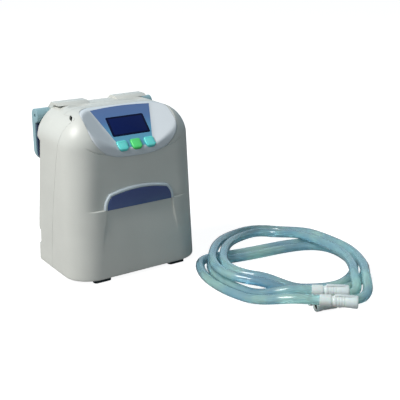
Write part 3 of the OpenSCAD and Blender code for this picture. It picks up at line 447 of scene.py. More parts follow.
def coil_plan(u):
    k, m, t = ease(0.76, 1, u), ease(1.7, 1.93, u), (-85 - 360 * u) * DEG
    c, s = math.cos(t), math.sin(t)
    x = COIL_MID[0] + 2 * k + (RING_ONE[0] * (1 - k) + RING_TWO[0] * k + 12 * m) * c
    y = (COIL_MID[1] + 33 * k - 30 * m + (RING_ONE[1] * (1 - k) + RING_TWO[1] * k - 16 * m) * s
         + (20 - 40 * k) * c * c + (43 - 78 * k) * c * max(s, 0) ** 1.5)
    return Vector((x, y, 0))


def coil_point(u, off):
    along = (coil_plan(u + 0.002) - coil_plan(u - 0.002)).normalized()
    rise = ease(0.98, 1.09, u) - 0.6 * ease(1.3, 1.42, u) + 0.6 * ease(1.5, 1.6, u)
    return coil_plan(u) + Vector((-along.y * off, along.x * off, HOSE_LOW + (HOSE_HIGH - HOSE_LOW) * rise))


def bend(a, b, c, d, count):
    out = []
    for i in range(1, count):
        t = i / count
        s = 1 - t
        out.append(s ** 3 * a + 3 * s * s * t * b + 3 * s * t * t * c + t ** 3 * d)
    return out


def turned(p):
    """From the coil's own frame to the pump's."""
    return Matrix.Rotation(COIL_TURN * DEG, 4, "Z") @ Vector(p)


def hose_route(k):
    off = (k - 0.5) * (HOSE_D + HOSE_GAP)
    count = round((TURNS[1] - TURNS[0]) * STEPS_A_TURN)
    ring = [coil_point(TURNS[0] + (TURNS[1] - TURNS[0]) * i / count, off) for i in range(count + 1)]
    near = [Vector((*p, NEAR_Z)) for p in NEAR_ENDS[k]]
    far = [Vector((*p, FAR_Z)) for p in FAR_ENDS[k]]
    out = (near[0] - near[1]).normalized()
    back = (far[0] - far[1]).normalized()
    a, z = near[0] + out * HOSE_D, far[0] + back * HOSE_D
    ta, tz = (ring[1] - ring[0]).normalized(), (ring[-1] - ring[-2]).normalized()
    la, lz = (ring[0] - a).length * 0.4, (z - ring[-1]).length * 0.4
    path = ([near[0], near[0].lerp(a, 0.5), a] + bend(a, a + out * la, ring[0] - ta * la, ring[0], 16) + ring
            + bend(ring[-1], ring[-1] + tz * lz, z + back * lz, z, 14) + [z, z.lerp(far[0], 0.5), far[0]])
    return [turned(p) for p in path]


def hose_finish():
    finish = Finish("clear_aqua_hose", (160, 206, 212), 0.16, ior=1.3, transmission_weight=0.65,
                    coat_weight=0.6, coat_roughness=0.06)
    # Painted shade: the tube's colour darkens towards its edges, where the surface turns away from the
    # camera.
    painted_edge_shade = Value(finish, finish.node("LayerWeight", None, {"Blend": 0.35}, out=1))
    tint = finish.noise(30, 3).between(0.3, 0.7)
    body = finish.mix(srgb(206, 242, 232), srgb(160, 204, 224), tint)
    finish.paint(finish.mix(body, srgb(92, 138, 156), painted_edge_shade.between(0.25, 0.85)))
    finish.rough(finish.noise(200, 3) * 0.08 + 0.12)
    finish.bump(finish.noise(260, 2), 0.00006)
    return finish


def swept(points, radius, sides, finish, name):
    """A tube along a smooth curve: one open spline with a round bevel."""
    curve = bpy.data.curves.new(name, "CURVE")
    curve.dimensions = "3D"
    curve.bevel_depth = radius * MM
    curve.bevel_resolution = sides // 4
    curve.use_fill_caps = True
    spline = curve.splines.new("POLY")
    spline.points.add(len(points) - 1)
    for slot, p in zip(spline.points, points):
        slot.co = (p[0] * MM, p[1] * MM, p[2] * MM, 1)
    curve.materials.append(finish.material)
    piece = bpy.data.objects.new(name, curve)
    bpy.context.collection.objects.link(piece)
    return piece


HOSE = hose_finish()
CONNECTOR_WHITE = moulded("milky_connector_nylon", (226, 231, 228), 0.3, grain=900, relief=0.00001,
                          spread=0.02, subsurface_weight=0.15, coat_weight=0.2)
SEAL_BLACK = rubber("seal_rubber", (30, 33, 36), 0.5)


def on_connector(ends, z):
    """From a plug's own axis to its place on the floor."""
    start, end = turned((*ends[0], z)), turned((*ends[1], z))
    along = end - start
    return Matrix.Translation(start) @ Matrix.Rotation(math.atan2(along.y, along.x), 4,
                                                       "Z") @ Matrix.Rotation(90 * DEG, 4, "Y")


def seal_shape(ends, z):
    """The soft ring in a plug's mouth."""
    bm = bmesh.new()
    bmesh.ops.create_circle(bm, segments=14, radius=0.8,
                            matrix=Matrix.Translation((CONNECTOR_D / 2 - 3.05, 0, CONNECTOR_L - 6.1))
                            @ Matrix.Rotation(90 * DEG, 4, "X"))
    bmesh.ops.spin(bm, geom=bm.verts[:] + bm.edges[:], cent=(0, 0, 0), axis=(0, 0, 1), dvec=(0, 0, 0),
                   angle=2 * math.pi, steps=32, use_merge=True, use_duplicate=False)
    bmesh.ops.transform(bm, matrix=on_connector(ends, z), verts=bm.verts)
    return bm


def connector_shape(ends, z):
    """The plug on a hose's end, spun from its profile: sleeve, neck, ribbed body, collar and open mouth."""
    r = CONNECTOR_D / 2
    length = CONNECTOR_L - 4
    mouth = r - 2.2
    profile = [(0, 0), (r - 0.9, 0), (r - 0.6, 0.3), (r - 0.45, 10.6), (r - 0.6, 11.2), (r - 1.3, 11.6),
               (r - 1.4, 12.2), (r - 1.4, 13.4), (r - 1.2, 14), (r - 0.6, 14.6)]
    for k in range(4):
        start = 16.5 + 2.6 * k
        profile += [(r - 0.5, start), (r - 0.75, start + 0.5), (r - 0.75, start + 1.1),
                    (r - 0.5, start + 1.6)]
    profile += [(r - 0.5, length - 8), (r - 0.1, length - 5.6), (r, length - 5), (r, length - 1.2),
                (r - 0.25, length - 0.4),
                (r - 0.8, length), (mouth + 0.3, length), (mouth, length - 0.3), (mouth, length - 12),
                (1.5, length - 12), (1.5, 1), (0, 1)]
    bm = bmesh.new()
    verts = [bm.verts.new((x, 0, h)) for x, h in profile]
    edges = [bm.edges.new(pair) for pair in zip(verts, verts[1:])]
    bmesh.ops.spin(bm, geom=verts + edges, cent=(0, 0, 0), axis=(0, 0, 1), dvec=(0, 0, 0), angle=2 * math.pi,
                   steps=40, use_merge=True, use_duplicate=False)
    bmesh.ops.remove_doubles(bm, verts=bm.verts, dist=1e-3)
    # thumb latch on the upper side
    latch = box((-r + 0.4, -r - 0.1), (-2.4, 2.4), (15, length - 4))
    round_edges(latch, 0.5, 2)
    bm = joined(bm, latch)
    bmesh.ops.translate(bm, vec=(0, 0, 0.05), verts=bm.verts)
    bmesh.ops.transform(bm, matrix=on_connector(ends, z), verts=bm.verts)
    return bm


for node, ends, z in (("connector_left", NEAR_ENDS[0], NEAR_Z), ("connector_right", NEAR_ENDS[1], NEAR_Z),
                      ("end_connector_left", FAR_ENDS[0], FAR_Z),
                      ("end_connector_right", FAR_ENDS[1], FAR_Z)):
    finished(node + "_moulded", connector_shape(ends, z), CONNECTOR_WHITE, "case", (node,),
                                sharp=40)
    finished(node + "_seal", seal_shape(ends, z), SEAL_BLACK, "case", ("connector_seals",))

for k, side in enumerate(("left", "right")):
    route = hose_route(k)
    hose = swept(route, HOSE_D / 2, 16, HOSE, "hose_" + side + "_tube")
    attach(hose, "case")
    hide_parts("hose_" + side)

# ---------- the case, ring by ring ----------
CASE_W, CASE_H, FOOT_H, WALL = 165, 185.5, 4, 2.5
SIDE_DRAFT, FRONT_DRAFT, REAR_DRAFT = 0.03, 0.0415, 0.098
CORNER_R, REAR_CORNER_R, DOME_R, REAR_TOP_R = 31, 12, 37, 9
HINGE_BOX_Z, HINGE_BOX_IN = 152, 3
LEDGE_Z, LEDGE_STEP, LEDGE_FULL, LEDGE_END = 83, 3, 45, 66
APRON_DEPTH, APRON_LOW = 2.6, 40
CHANNEL_Z, CHANNEL_TOP, CHANNEL_LOW, CHANNEL_HIGH = 23, 45.5, 24.5, 41.5
Y_FRONT, Y_REAR, CHANNEL_Y = -56.25, 49.75, 36.25
PORT_Z = 33
DOME_Z = CASE_H - DOME_R
LEDGE_ROUND = 1.0
SIDE_REACH = 92                            # past both sides of the case
AXIS_Y, AXIS_Z, BARREL_R = 48.25, 173, 8
LUG_IN, LUG_OUT, LUG_RISE, HOOK_HALF_W = 18, 57, 2.5, 75


def rounding(r, start, z):
    return 0 if z <= start else r - math.sqrt(max(r * r - min(z - start, r) ** 2, 0))


def apron_half(z):
    return LEDGE_FULL - 3 + (6 * ease(LEDGE_Z, APRON_LOW, z) if z < LEDGE_Z else 0)


def face_y(z):
    return Y_FRONT + FRONT_DRAFT * (z - FOOT_H)


def back_y(z):
    low, high = CHANNEL_TOP, HINGE_BOX_Z - 4
    if z < low:
        return Y_REAR
    if z < high:
        return Y_REAR - REAR_DRAFT * (z - low)
    if z < HINGE_BOX_Z:
        return Y_REAR - REAR_DRAFT * (high - low) + (z - high) / 4 * (REAR_DRAFT * (high - low)
                                                                      - HINGE_BOX_IN)
    return Y_REAR - HINGE_BOX_IN


def step_at(z):
    """How far the front face lies behind its drafted plane.

    The skirt stands out, and its top edge is rounded.
    """
    below = -0.45 * LEDGE_STEP * ease(FOOT_H, LEDGE_Z, min(z, LEDGE_Z))
    if z <= LEDGE_Z - LEDGE_ROUND:
        return below
    if z < LEDGE_Z:
        return below + rounding(LEDGE_ROUND, LEDGE_Z - LEDGE_ROUND, z)
    return 0.55 * LEDGE_STEP * (1 - ease(LEDGE_Z, DOME_Z, z))


def relief(x, z):
    step = step_at(z) * (1 - ease(LEDGE_FULL, LEDGE_END, abs(x)))
    if z < LEDGE_Z:
        half = apron_half(z)
        step += APRON_DEPTH * ease(APRON_LOW, LEDGE_Z, z) * (1 - ease(half - 0.7, half + 0.7, abs(x)))
    return step


def case_ring(z, t=0.0):
    """One level loop of the case, set in by t."""
    d = rounding(DOME_R - t, DOME_Z, z)
    dr = rounding(REAR_TOP_R, CASE_H - t - REAR_TOP_R, z)
    hw = CASE_W / 2 - SIDE_DRAFT * (min(z, DOME_Z) - FOOT_H) - t - d
    yf = face_y(min(z, DOME_Z)) + t + d
    yr = back_y(z) - t - dr
    r, rr = max(CORNER_R - t - d, 0.8), max(REAR_CORNER_R - t - dr, 0.8)
    xc = hw - r
    xa = min(apron_half(z), xc - 2.2)
    half = [(x, yf + relief(x, z)) for x in [xa * k for k in (0, 0.16, 0.32, 0.48, 0.64, 0.8, 0.92)]
            + [xa + k for k in (-0.7, -0.4, -0.15, 0.15, 0.4, 0.7)]
            + [xa + 0.7 + (xc - xa - 0.7) * k for k in (0.33, 0.67)]]
    for a in range(0, 91, 6):
        x = xc + r * math.sin(a * DEG)
        half.append((x, yf + r * (1 - math.cos(a * DEG)) + relief(x, z) * math.cos(a * DEG)))
    half += [(hw, yf + r + (yr - rr - yf - r) * k / 8) for k in range(1, 8)]
    half += [(hw - rr + rr * math.cos(a * DEG), yr - rr + rr * math.sin(a * DEG)) for a in range(0, 91, 15)]
    half += [((hw - rr) * (1 - k / 4), yr) for k in (1, 2, 3)]
    return ([(x, y, z) for x, y in half] + [(0, yr, z)] + [(-x, y, z) for x, y in reversed(half[1:])])


DOME_LEVELS = [DOME_Z + DOME_R * math.sin(a * DEG) for a in range(3, 88, 3)]
CASE_LEVELS = sorted([6, 10, 16, 24, 32, 40, 46, 52, 58, 64, 70, 75, 79, 81, 82, 82.3, 82.6, 82.85, 82.97,
                      82.999, 83, 83.4, 84.5, 88, 93, 99, 106, 113, 120, 127, 134, 140, 145, 148, 148.5, 152]
                     + [z for z in DOME_LEVELS if z > 152.5])


def case_skin():
    return lofted([case_ring(FOOT_H, 1.6), case_ring(FOOT_H + 0.25, 0.95), case_ring(FOOT_H + 0.7, 0.45),
                   case_ring(FOOT_H + 1.3, 0.12)] + [case_ring(z) for z in CASE_LEVELS] + [case_ring(CASE_H)])


def case_hollow():
    top = CASE_H - WALL
    levels = [FOOT_H + WALL, 45, LEDGE_Z - 1.5, LEDGE_Z + 1.5, 110, HINGE_BOX_Z - 4, HINGE_BOX_Z]
    levels += [DOME_Z + (DOME_R - WALL) * math.sin(a * DEG) for a in range(12, 85, 12)] + [top]
    return lofted([case_ring(z, WALL) for z in levels])


ALONG_X = Matrix(((0, 0, 1, 0), (1, 0, 0, 0), (0, 1, 0, 0), (0, 0, 0, 1)))
CONSOLE_TILT = 45.5
CONSOLE = Matrix.Translation((0, Y_FRONT + 43, CASE_H)) @ Matrix.Rotation(CONSOLE_TILT * DEG, 4, "X")
SEAM_FOOT = 63                             # of the seam behind the foot of the front
SEAM_TOP_Y, SEAM_HALF, SEAM_BOX_Z = Y_FRONT + 60, CASE_W / 2 - 23, DOME_Z + 21


def seam_y(z):
    return Y_FRONT + SEAM_FOOT - 0.07 * (z - 21) - 0.00075 * (z - 21) ** 2


def front_region(gap=0.0):
    """All that lies in front of the seam between the housings."""
    line = [(seam_y(z) - gap, z) for z in range(-5, 206, 5)]
    side = extruded([(Y_FRONT - 20, -5)] + line + [(Y_FRONT - 20, 205)], -SIDE_REACH, SIDE_REACH, ALONG_X)
    top = box((-SEAM_HALF + gap, SEAM_HALF - gap), (Y_FRONT - 19, SEAM_TOP_Y - gap), (SEAM_BOX_Z + gap, 204))
    return cut(side, ("UNION", top))


def finger_slit(m):
    """The lens-shaped slit at the upper end of a side seam."""
    length, width = 15, 3.4
    r = (length ** 2 / 4 + width ** 2 / 4) / width
    half = math.asin(length / 2 / r)
    arc = [(r * math.cos(a) - r + width / 2, r * math.sin(a)) for a in [half * (k / 8) for k in range(-8, 9)]]
    outline = arc + [(-x, y) for x, y in reversed(arc[1:-1])]
    place = (Matrix.Translation((SEAM_HALF + 3, seam_y(DOME_Z + 33) + 9, DOME_Z + 33.5))
             @ Matrix.Rotation(40 * DEG, 4, "Y") @ Matrix.Rotation(24 * DEG, 4, "Z"))
    slit = extruded(outline, -9, 5, place)
    if m < 0:
        bmesh.ops.scale(slit, vec=(-1, 1, 1), verts=slit.verts)
        bmesh.ops.reverse_faces(slit, faces=slit.faces)
    return slit


# ---------- console outlines, in the console's own frame ----------
POD_HALF_W, POD_HALF_L, POD_MID, POD_PROUD, POD_FLOOR = 55, 36, 24, 1.2, -9
POD_TOP, POD_FACE_T = 8.6, 2.6
POD_HOLLOW = (40, 55)                      # half width and length of the room behind the face
DISH_MARGIN, DISH_END = 1.5, 59            # round the panel, and where the lower flank starts
FLANK_SLOPE, TOP_SLOPE = 0.377, 1.28
PANEL_TOP_HALF, PANEL_TAPER, PANEL_L = 37.2, 15.2, 46
BUTTON_S, BUTTON_PITCH, BUTTON_W, BUTTON_GAP = 49.6, 17, 12, 0.4
BUTTON_XS = (-BUTTON_PITCH, 0, BUTTON_PITCH)
PANEL_LOW = BUTTON_S + 3
WINDOW_W, WINDOW_L, WINDOW_S = 47, 25, 12.5


def bent(v):
    return math.copysign(abs(v) ** (2 / 3), v)


def pod_outline(grow=0.0, step=3):
    return [((POD_HALF_W + grow) * bent(math.cos(a * DEG)),
             -POD_MID + (POD_HALF_L + grow) * bent(math.sin(a * DEG)))
            for a in range(0, 360, step)]


def panel_half(s):
    return PANEL_TOP_HALF - PANEL_TAPER * s / PANEL_L


def panel_outline(grow=0.0):
    top = [(k / 8 * (panel_half(0) + grow), 2 * (1 - k * k / 64) - 1 + grow) for k in range(-8, 9)]
    low = panel_half(PANEL_LOW) + grow
    return top + [(low, -PANEL_LOW - grow), (-low, -PANEL_LOW - grow)]


def rounded_box(half_w, half_h, radii, middle=(0, 0), steps=6):
    """An outline with its own radius at the right top, left top, left bottom and right bottom corner."""
    out = []
    for k, (sx, sy) in enumerate(((1, 1), (-1, 1), (-1, -1), (1, -1))):
        r = radii[k]
        for i in range(steps + 1):
            a = (90 * k + 90 * i / steps) * DEG
            out.append((middle[0] + sx * (half_w - r) + r * math.cos(a),
                        middle[1] + sy * (half_h - r) + r * math.sin(a)))
    return out


def button_outline(x, grow=0.0):
    return rounded_box(BUTTON_W / 2 + grow, BUTTON_W / 2 + grow,
                       (2.2 + grow, 2.2 + grow, 3.6 + grow, 3.6 + grow), (x, -BUTTON_S))


def window_outline(grow=0.0):
    r = 1.5 + grow
    return rounded_box(WINDOW_W / 2 + grow, WINDOW_L / 2 + grow, (r, r, r, r), (0, -WINDOW_S - WINDOW_L / 2),
                       4)


# ---------- name plate ----------
PLATE_LOW, PLATE_HALF_W, PLATE_H, PLATE_R, RIM_W = LEDGE_Z - 0.8, 40.5, 19, 17, 3.6
PLATE_PROUD, PLATE_BOW_R = 3.1, 140
PLATE_BACK = face_y(LEDGE_Z + PLATE_H + RIM_W) + 0.55 * LEDGE_STEP + 0.1
PLATE_FRONT = face_y(LEDGE_Z) + 0.55 * LEDGE_STEP - PLATE_PROUD


def arch(half_w, h, r, low=0.0):
    """The plate's arched outline: upright ends, round corners and a crown that bows a little."""
    def crown(x):
        return h - PLATE_BOW_R + math.sqrt(PLATE_BOW_R ** 2 - x * x)
    right = [(half_w - r + r * math.cos(a * DEG), h - r + r * math.sin(a * DEG)) for a in range(0, 90, 6)]
    right = [(x, min(y, crown(x))) for x,
             y in right] + [((half_w - r) * k / 4, crown((half_w - r) * k / 4)) for k in (4, 3, 2, 1)]
    return [(half_w, low)] + right + [(0, crown(0))] + [(-x, y) for x,
                                                        y in reversed(right)] + [(-half_w, low)]


def upright(outline, y, t):
    place = Matrix.Translation((0, y + t, PLATE_LOW)) @ Matrix(((1, 0, 0, 0), (0, 0, -1, 0), (0, 1, 0, 0),
                                                                (0, 0, 0, 1)))
    return extruded(outline, 0, t, place)


# ---------- finishes ----------
CASE_GREY = moulded("warm_grey_case_plastic", (204, 205, 199), 0.4, grain=1300, relief=0.00004)
POD_GREY = moulded("pale_console_plastic", (205, 211, 216), 0.34, grain=1800, relief=0.00002, spread=0.015)
RIM_SILVER = moulded("silver_rim_paint", (206, 216, 222), 0.28, grain=2200, relief=0.00001, coat_weight=0.25)
HOOK_TEAL = moulded("teal_hook_plastic", (142, 176, 184), 0.36, grain=1500, relief=0.00003)
# Painted shade: the hook pad's dark navy stands for the shadow on the inner face of the hook.
PAD_SHADE_NAVY = rubber("hook_pad_painted_shade", (52, 66, 96), 0.55)
FOOT_BLACK = rubber("foot_rubber", (38, 46, 48), 0.6)
PORT_BLACK = moulded("black_port_plastic", (34, 37, 40), 0.36, grain=1700, relief=0.00002, spread=0.1)
STEEL = brushed("brushed_steel", (178, 182, 186))
BOARD = circuit_board("circuit_board")
COPPER = windings("copper_windings")
NYLON = moulded("white_nylon", (224, 226, 222), 0.38, grain=900, relief=0.00001)
CELL_BLUE = moulded("cell_wrap_film", (60, 104, 168), 0.26, grain=300, relief=0.0001, spread=0.05)


def slot_shape(length, r, low, high, place):
    """A round-ended slot through a wall."""
    outline = [(length / 2 - r + r * math.cos(a * DEG), r * math.sin(a * DEG)) for a in range(-90, 91, 15)]
    return extruded(outline + [(-x, -y) for x, y in outline], low, high, place)


def port_block(x, size, low, high, grow=0.1):
    return box((x - size[0] / 2 - grow, x + size[0] / 2 + grow), (low, high),
               (PORT_Z - size[1] / 2 - grow, PORT_Z + size[1] / 2 + grow))


def smile_height(x):
    """Height of the crease under the console, which runs up towards both sides."""
    return 142 + 11 * (abs(x) / 61) ** 4.08


def crease_tool(skin_tree):
    """A tapered cord along the crease, sunk into the front to press its groove."""
    rings = []
    for i in range(-34, 35):
        x = i * 2
        z = smile_height(x)
        hit = skin_tree.ray_cast(Vector((x, -90, z)), Vector((0, 1, 0)))[0]
        r = 0.95 * (1 - ease(50, 68, abs(x))) + 0.05
        rings.append([(x, hit.y - 0.25 + r * math.cos(a * DEG), z + r * math.sin(a * DEG))
                      for a in range(0, 360, 30)])
    return lofted(rings)


SCREW_XZ = ((66, 13), (63, 140))
FEET_XY = [(x, y) for x in (-48.5, 48.5) for y in (Y_FRONT + 8, Y_REAR - 8)]
SOCKET_XS = (-46, -24)
INLET_X, SWITCH_X = 42, 12
INLET_SIZE, SWITCH_SIZE = (24, 13), (19, 12.6)
BOSS_R, SCREW_WELL_R, SCREW_HOLE_R, FOOT_PLUG_R = 4.6, 3.2, 1.65, 3.1
SOCKET_BODY = CONNECTOR_D / 2 + 1.2


def make_front_housing():
    skin = case_skin()
    tree = BVHTree.FromBMesh(skin)
    floor_slots = [slot_shape(26, 1.5, 0, 6, Matrix.Translation((x, Y_FRONT + 40, FOOT_H - 1))
                              @ Matrix.Rotation(90 * DEG, 4, "Z"))
                   for x in range(-36, 37, 9)]
    plugs = [rod((x, y, 0), (x, y, 8), FOOT_PLUG_R, 24) for x, y in FEET_XY if y < 0]
    shell = cut(skin, ("DIFFERENCE", case_hollow()), ("INTERSECT", front_region()),
                ("DIFFERENCE", extruded(pod_outline(0.25), POD_FLOOR - 0.7, 40, CONSOLE)),
                ("DIFFERENCE", upright(arch(PLATE_HALF_W + RIM_W + 0.1, PLATE_H + RIM_W + 0.1,
                                            PLATE_R + RIM_W), PLATE_BACK - 30, 30)),
                ("DIFFERENCE", joined(finger_slit(1), finger_slit(-1))),
                ("DIFFERENCE", crease_tool(tree)),
                ("DIFFERENCE", joined(*floor_slots, *plugs)))
    shelf = cut(case_skin(),
                ("INTERSECT", extruded(pod_outline(3), POD_FLOOR - 1.7, POD_FLOOR - 0.1, CONSOLE)),
                ("DIFFERENCE", extruded(pod_outline(-4), POD_FLOOR - 3, POD_FLOOR + 1, CONSOLE)))
    return finished("front_housing_shell", cut(shell, ("UNION", shelf)), CASE_GREY, "case",
                    ("front_housing",), sharp=28)


def lug_outline():
    arc = [(AXIS_Y + BARREL_R * math.cos(a * DEG), AXIS_Z + BARREL_R * math.sin(a * DEG))
           for a in range(52, -151, -6)]
    return ([(AXIS_Y - 12, CASE_H), (Y_REAR - 26, CASE_H), (Y_REAR - 20, CASE_H + LUG_RISE),
             (AXIS_Y - 6, CASE_H + LUG_RISE)]
            + arc + [(AXIS_Y - 8, AXIS_Z - 4), (AXIS_Y - 12, AXIS_Z)])


def along_x(half, r, sides=64):
    return rod((-half, AXIS_Y, AXIS_Z), (half, AXIS_Y, AXIS_Z), r, sides)


def make_rear_housing():
    wells, bosses, screw_holes = [], [], []
    for x, z in SCREW_XZ:
        for m in (-1, 1):
            y = seam_y(z)
            bosses.append(rod((m * x, y - 2, z), (m * x, 60, z), BOSS_R, 24))
            wells.append(rod((m * x, y + 13, z), (m * x, 80, z), SCREW_WELL_R, 24))
            screw_holes.append(rod((m * x, y - 4, z), (m * x, y + 14, z), SCREW_HOLE_R, 20))
    hollow = cut(case_hollow(), ("DIFFERENCE", box((-90, 90), (CHANNEL_Y - WALL, CHANNEL_Y + 40),
                                                   (CHANNEL_Z - WALL, CHANNEL_TOP + WALL))),
                 ("DIFFERENCE", along_x(HOOK_HALF_W + 1.5, BARREL_R + 3)), ("DIFFERENCE", joined(*bosses)))
    channel = [(Y_REAR + 20, CHANNEL_Z), (Y_REAR, CHANNEL_Z), (CHANNEL_Y, CHANNEL_LOW),
               (CHANNEL_Y, CHANNEL_HIGH),
               (Y_REAR, CHANNEL_TOP), (Y_REAR + 20, CHANNEL_TOP)]
    lugs = [extruded(lug_outline(), m * LUG_IN - m * 0.1, m * LUG_OUT + m * 0.1, ALONG_X) for m in (-1, 1)]
    sockets = [rod((x, CHANNEL_Y - WALL - 1, PORT_Z), (x, CHANNEL_Y + 1, PORT_Z), SOCKET_BODY + 0.1, 48)
               for x in SOCKET_XS]
    ports = [port_block(INLET_X, INLET_SIZE, CHANNEL_Y - 4, CHANNEL_Y + 1),
             port_block(SWITCH_X, SWITCH_SIZE, CHANNEL_Y - 4, CHANNEL_Y + 1)]
    vents = [slot_shape(64, 1.5, 0, 9,
                        Matrix.Translation((0, back_y(z) + 3, z)) @ Matrix.Rotation(90 * DEG, 4, "X"))
             for z in range(60, 101, 8)]
    plugs = [rod((x, y, 0), (x, y, 8), FOOT_PLUG_R, 24) for x, y in FEET_XY if y > 0]
    scoops = []
    for m in (-1, 1):
        scoop = bmesh.new()
        bmesh.ops.create_uvsphere(scoop, u_segments=40, v_segments=24, radius=8,
                                  matrix=Matrix.Translation((m * (LUG_IN + LUG_OUT) / 2, Y_FRONT + 72,
                                                             CASE_H + 3)) @ Matrix.Diagonal((2.5, 1, 0.6, 1)))
        scoops.append(scoop)
    shell = cut(case_skin(), ("DIFFERENCE", hollow), ("DIFFERENCE", front_region(-0.3)),
                ("DIFFERENCE", extruded(channel, -SIDE_REACH, SIDE_REACH, ALONG_X)),
                ("DIFFERENCE", along_x(HOOK_HALF_W + 0.6, BARREL_R + 0.5)),
                ("DIFFERENCE", lugs[0]), ("DIFFERENCE", lugs[1]),
                ("DIFFERENCE", joined(*wells)), ("DIFFERENCE", joined(*screw_holes)),
                ("DIFFERENCE", joined(*sockets, *ports, *vents, *plugs)),
                ("DIFFERENCE", joined(finger_slit(1), finger_slit(-1))),
                ("DIFFERENCE", joined(*scoops)))
    return finished("rear_housing_shell", shell, CASE_GREY, "case", ("rear_housing",), sharp=28)


def make_pod():
    """The console pod: a dished face whose flanks rise from the panel and roll over into its rim."""
    proud = [case_ring(z, -POD_PROUD * (1 - ease(DOME_Z, CASE_H, z)))
             for z in [100, 110, 120, 128, 136, 142, 148.5]
             + DOME_LEVELS + [CASE_H - 0.01]]
    skin = lofted(proud)
    bmesh.ops.transform(skin, matrix=CONSOLE.inverted(), verts=skin.verts)
    tree = BVHTree.FromBMesh(skin)
    outline = [(x, min(y, POD_TOP)) for x, y in pod_outline(0, 3)]

    def soft_most(a, b, k):
        return max(a, b) + k * math.log(1 + math.exp(-abs(a - b) / k))

    def face(x, y, edge):
        s = -y
        hit = tree.ray_cast(Vector((x, y, 60)), Vector((0, 0, -1)))[0]
        top = hit.z if hit else POD_FLOOR + 1
        side = (abs(x) - panel_half(s) - DISH_MARGIN) * FLANK_SLOPE
        slopes = soft_most(soft_most(side, (-DISH_MARGIN - s) * TOP_SLOPE, 0.4), (s - DISH_END), 0.4)
        dish = soft_most(0, slopes, 0.28)
        height = -soft_most(-top, -dish, 0.55)
        return max(height - rounding(1.0, 0, max(1.0 - edge, 0)), POD_FLOOR + 0.12)

    def at(rho):
        ring = []
        for x, y in outline:
            px, py = x * rho, -POD_MID + (y + POD_MID) * rho
            edge = (1 - rho) * math.hypot(x, y + POD_MID)
            ring.append((px, py, face(px, py, edge)))
        return ring

    rings = [at(r) for r in (0.02, 0.08, 0.16, 0.24, 0.32, 0.4, 0.48, 0.55, 0.61, 0.66, 0.7, 0.74, 0.78, 0.81,
                             0.84, 0.87, 0.9, 0.925, 0.945, 0.96, 0.972, 0.981, 0.988, 0.993, 0.997, 1.0)]
    rings.append([(x, y, POD_FLOOR) for x, y in outline])
    pod = lofted(rings)
    half, length = POD_HOLLOW
    hollow = extruded([(half, 0), (-half, 0), (-half, -length), (half, -length)], POD_FLOOR - 1, -POD_FACE_T)
    buttons = [extruded(button_outline(x, BUTTON_GAP), -12, 12) for x in BUTTON_XS]
    pod = cut(pod, ("DIFFERENCE", hollow), ("DIFFERENCE", extruded(panel_outline(0.12), -0.85, 6)),
              ("DIFFERENCE", extruded(window_outline(0.1), -12, 12)),
              ("DIFFERENCE", joined(*buttons)))
    bmesh.ops.transform(pod, matrix=CONSOLE, verts=pod.verts)
    return finished("console_pod", pod, POD_GREY, "case", ("console_bezel",), sharp=34)


def console_finish(name, colour, roughness, **fixed):
    """A finish and its place on the console in millimetres: across, up the slope and out of it."""
    finish = Finish(name, colour, roughness, **fixed)
    back = CONSOLE.inverted()
    shift = back @ Vector((0, 0, 0))
    return finish, finish.axes(finish.place(scale=(1000,) * 3, turn=(-CONSOLE_TILT * DEG, 0, 0),
                                            shift=tuple(shift)))


def panel_finish():
    finish, (x, y, z) = console_finish("printed_blue_panel_film", (84, 124, 172), 0.3, coat_weight=0.25,
                                       coat_roughness=0.15)
    down = (y * -1).between(-2, 52)
    base = finish.node("ValToRGB", {"stops": [(0.0, srgb(84, 112, 164)), (0.3, srgb(78, 116, 170)),
                                              (0.62, srgb(84, 146, 186)),
                                              (1.0, srgb(92, 164, 192))]}, {0: down})
    dots = ((x * 5.2).wave() * (y * 5.2).wave()).between(0.2, 0.9)
    finish.paint(finish.mix(base, finish.mix(base, srgb(58, 92, 150), 0.5),
                            dots * 0.12 + finish.noise(60, 3).between(0.4, 0.8) * 0.1))
    finish.rough(finish.noise(300, 3) * 0.1 + 0.26)
    finish.bump(finish.noise(2400, 2), 0.00001)
    return finish


def window_finish():
    finish, (x, y, z) = console_finish("dark_display_window", (14, 30, 78), 0.1, specular_ior_level=0.05,
                                       coat_weight=0.02, coat_roughness=0.03)
    across = (x.size() * -1 + WINDOW_W / 2 - 2.4).between(0, 0.25)
    along = ((y + WINDOW_S + WINDOW_L / 2).size() * -1 + WINDOW_L / 2 - 2.2).between(0, 0.25)
    lit = across * along
    rows = (y * 2.2).part().between(0.0, 0.12) * (x * 2.2).part().between(0.0, 0.12)
    screen = finish.mix(srgb(11, 24, 70), srgb(14, 30, 86), rows)
    haze = finish.noise(24, 2).between(0.3, 0.8)
    finish.paint(finish.mix(srgb(9, 17, 52), finish.mix(screen, srgb(16, 34, 88), haze * 0.35), lit))
    finish.rough(finish.noise(90, 4, 0.7).between(0.5, 0.9) * 0.08 + 0.06)
    return finish


def button_finish(name, colour, dark, x0):
    """Silicone rubber, lit through in painted light: paler where it crowns, with painted shade deeper at its
    foot.
    """
    finish, (x, y, z) = console_finish(name, colour, 0.34, subsurface_weight=0.12, coat_weight=0.12)
    # Painted shade: towards the foot of the cap the colour turns halfway to the dark one.
    rim = ((x - x0).size().most((y + BUTTON_S).size())).between(2.5, 6.6)
    finish.paint(finish.mix(finish.mix(finish.colour, srgb(*dark), rim * 0.5), srgb(*dark),
                            finish.noise(180, 3).between(0.4, 0.9) * 0.12))
    finish.rough(finish.noise(400, 3) * 0.12 + 0.3)
    finish.bump(finish.noise(1600, 2), 0.00002)
    return finish


def make_panel():
    windows = [extruded(button_outline(x, BUTTON_GAP), -3, 3) for x in BUTTON_XS]
    panel = cut(extruded(panel_outline(), -0.8, 0.05),
                ("DIFFERENCE", joined(extruded(window_outline(0.1), -3, 3), *windows)))
    bmesh.ops.transform(panel, matrix=CONSOLE, verts=panel.verts)
    return finished("blue_console_panel", panel, panel_finish(), "case", ("console_panel",), sharp=30)


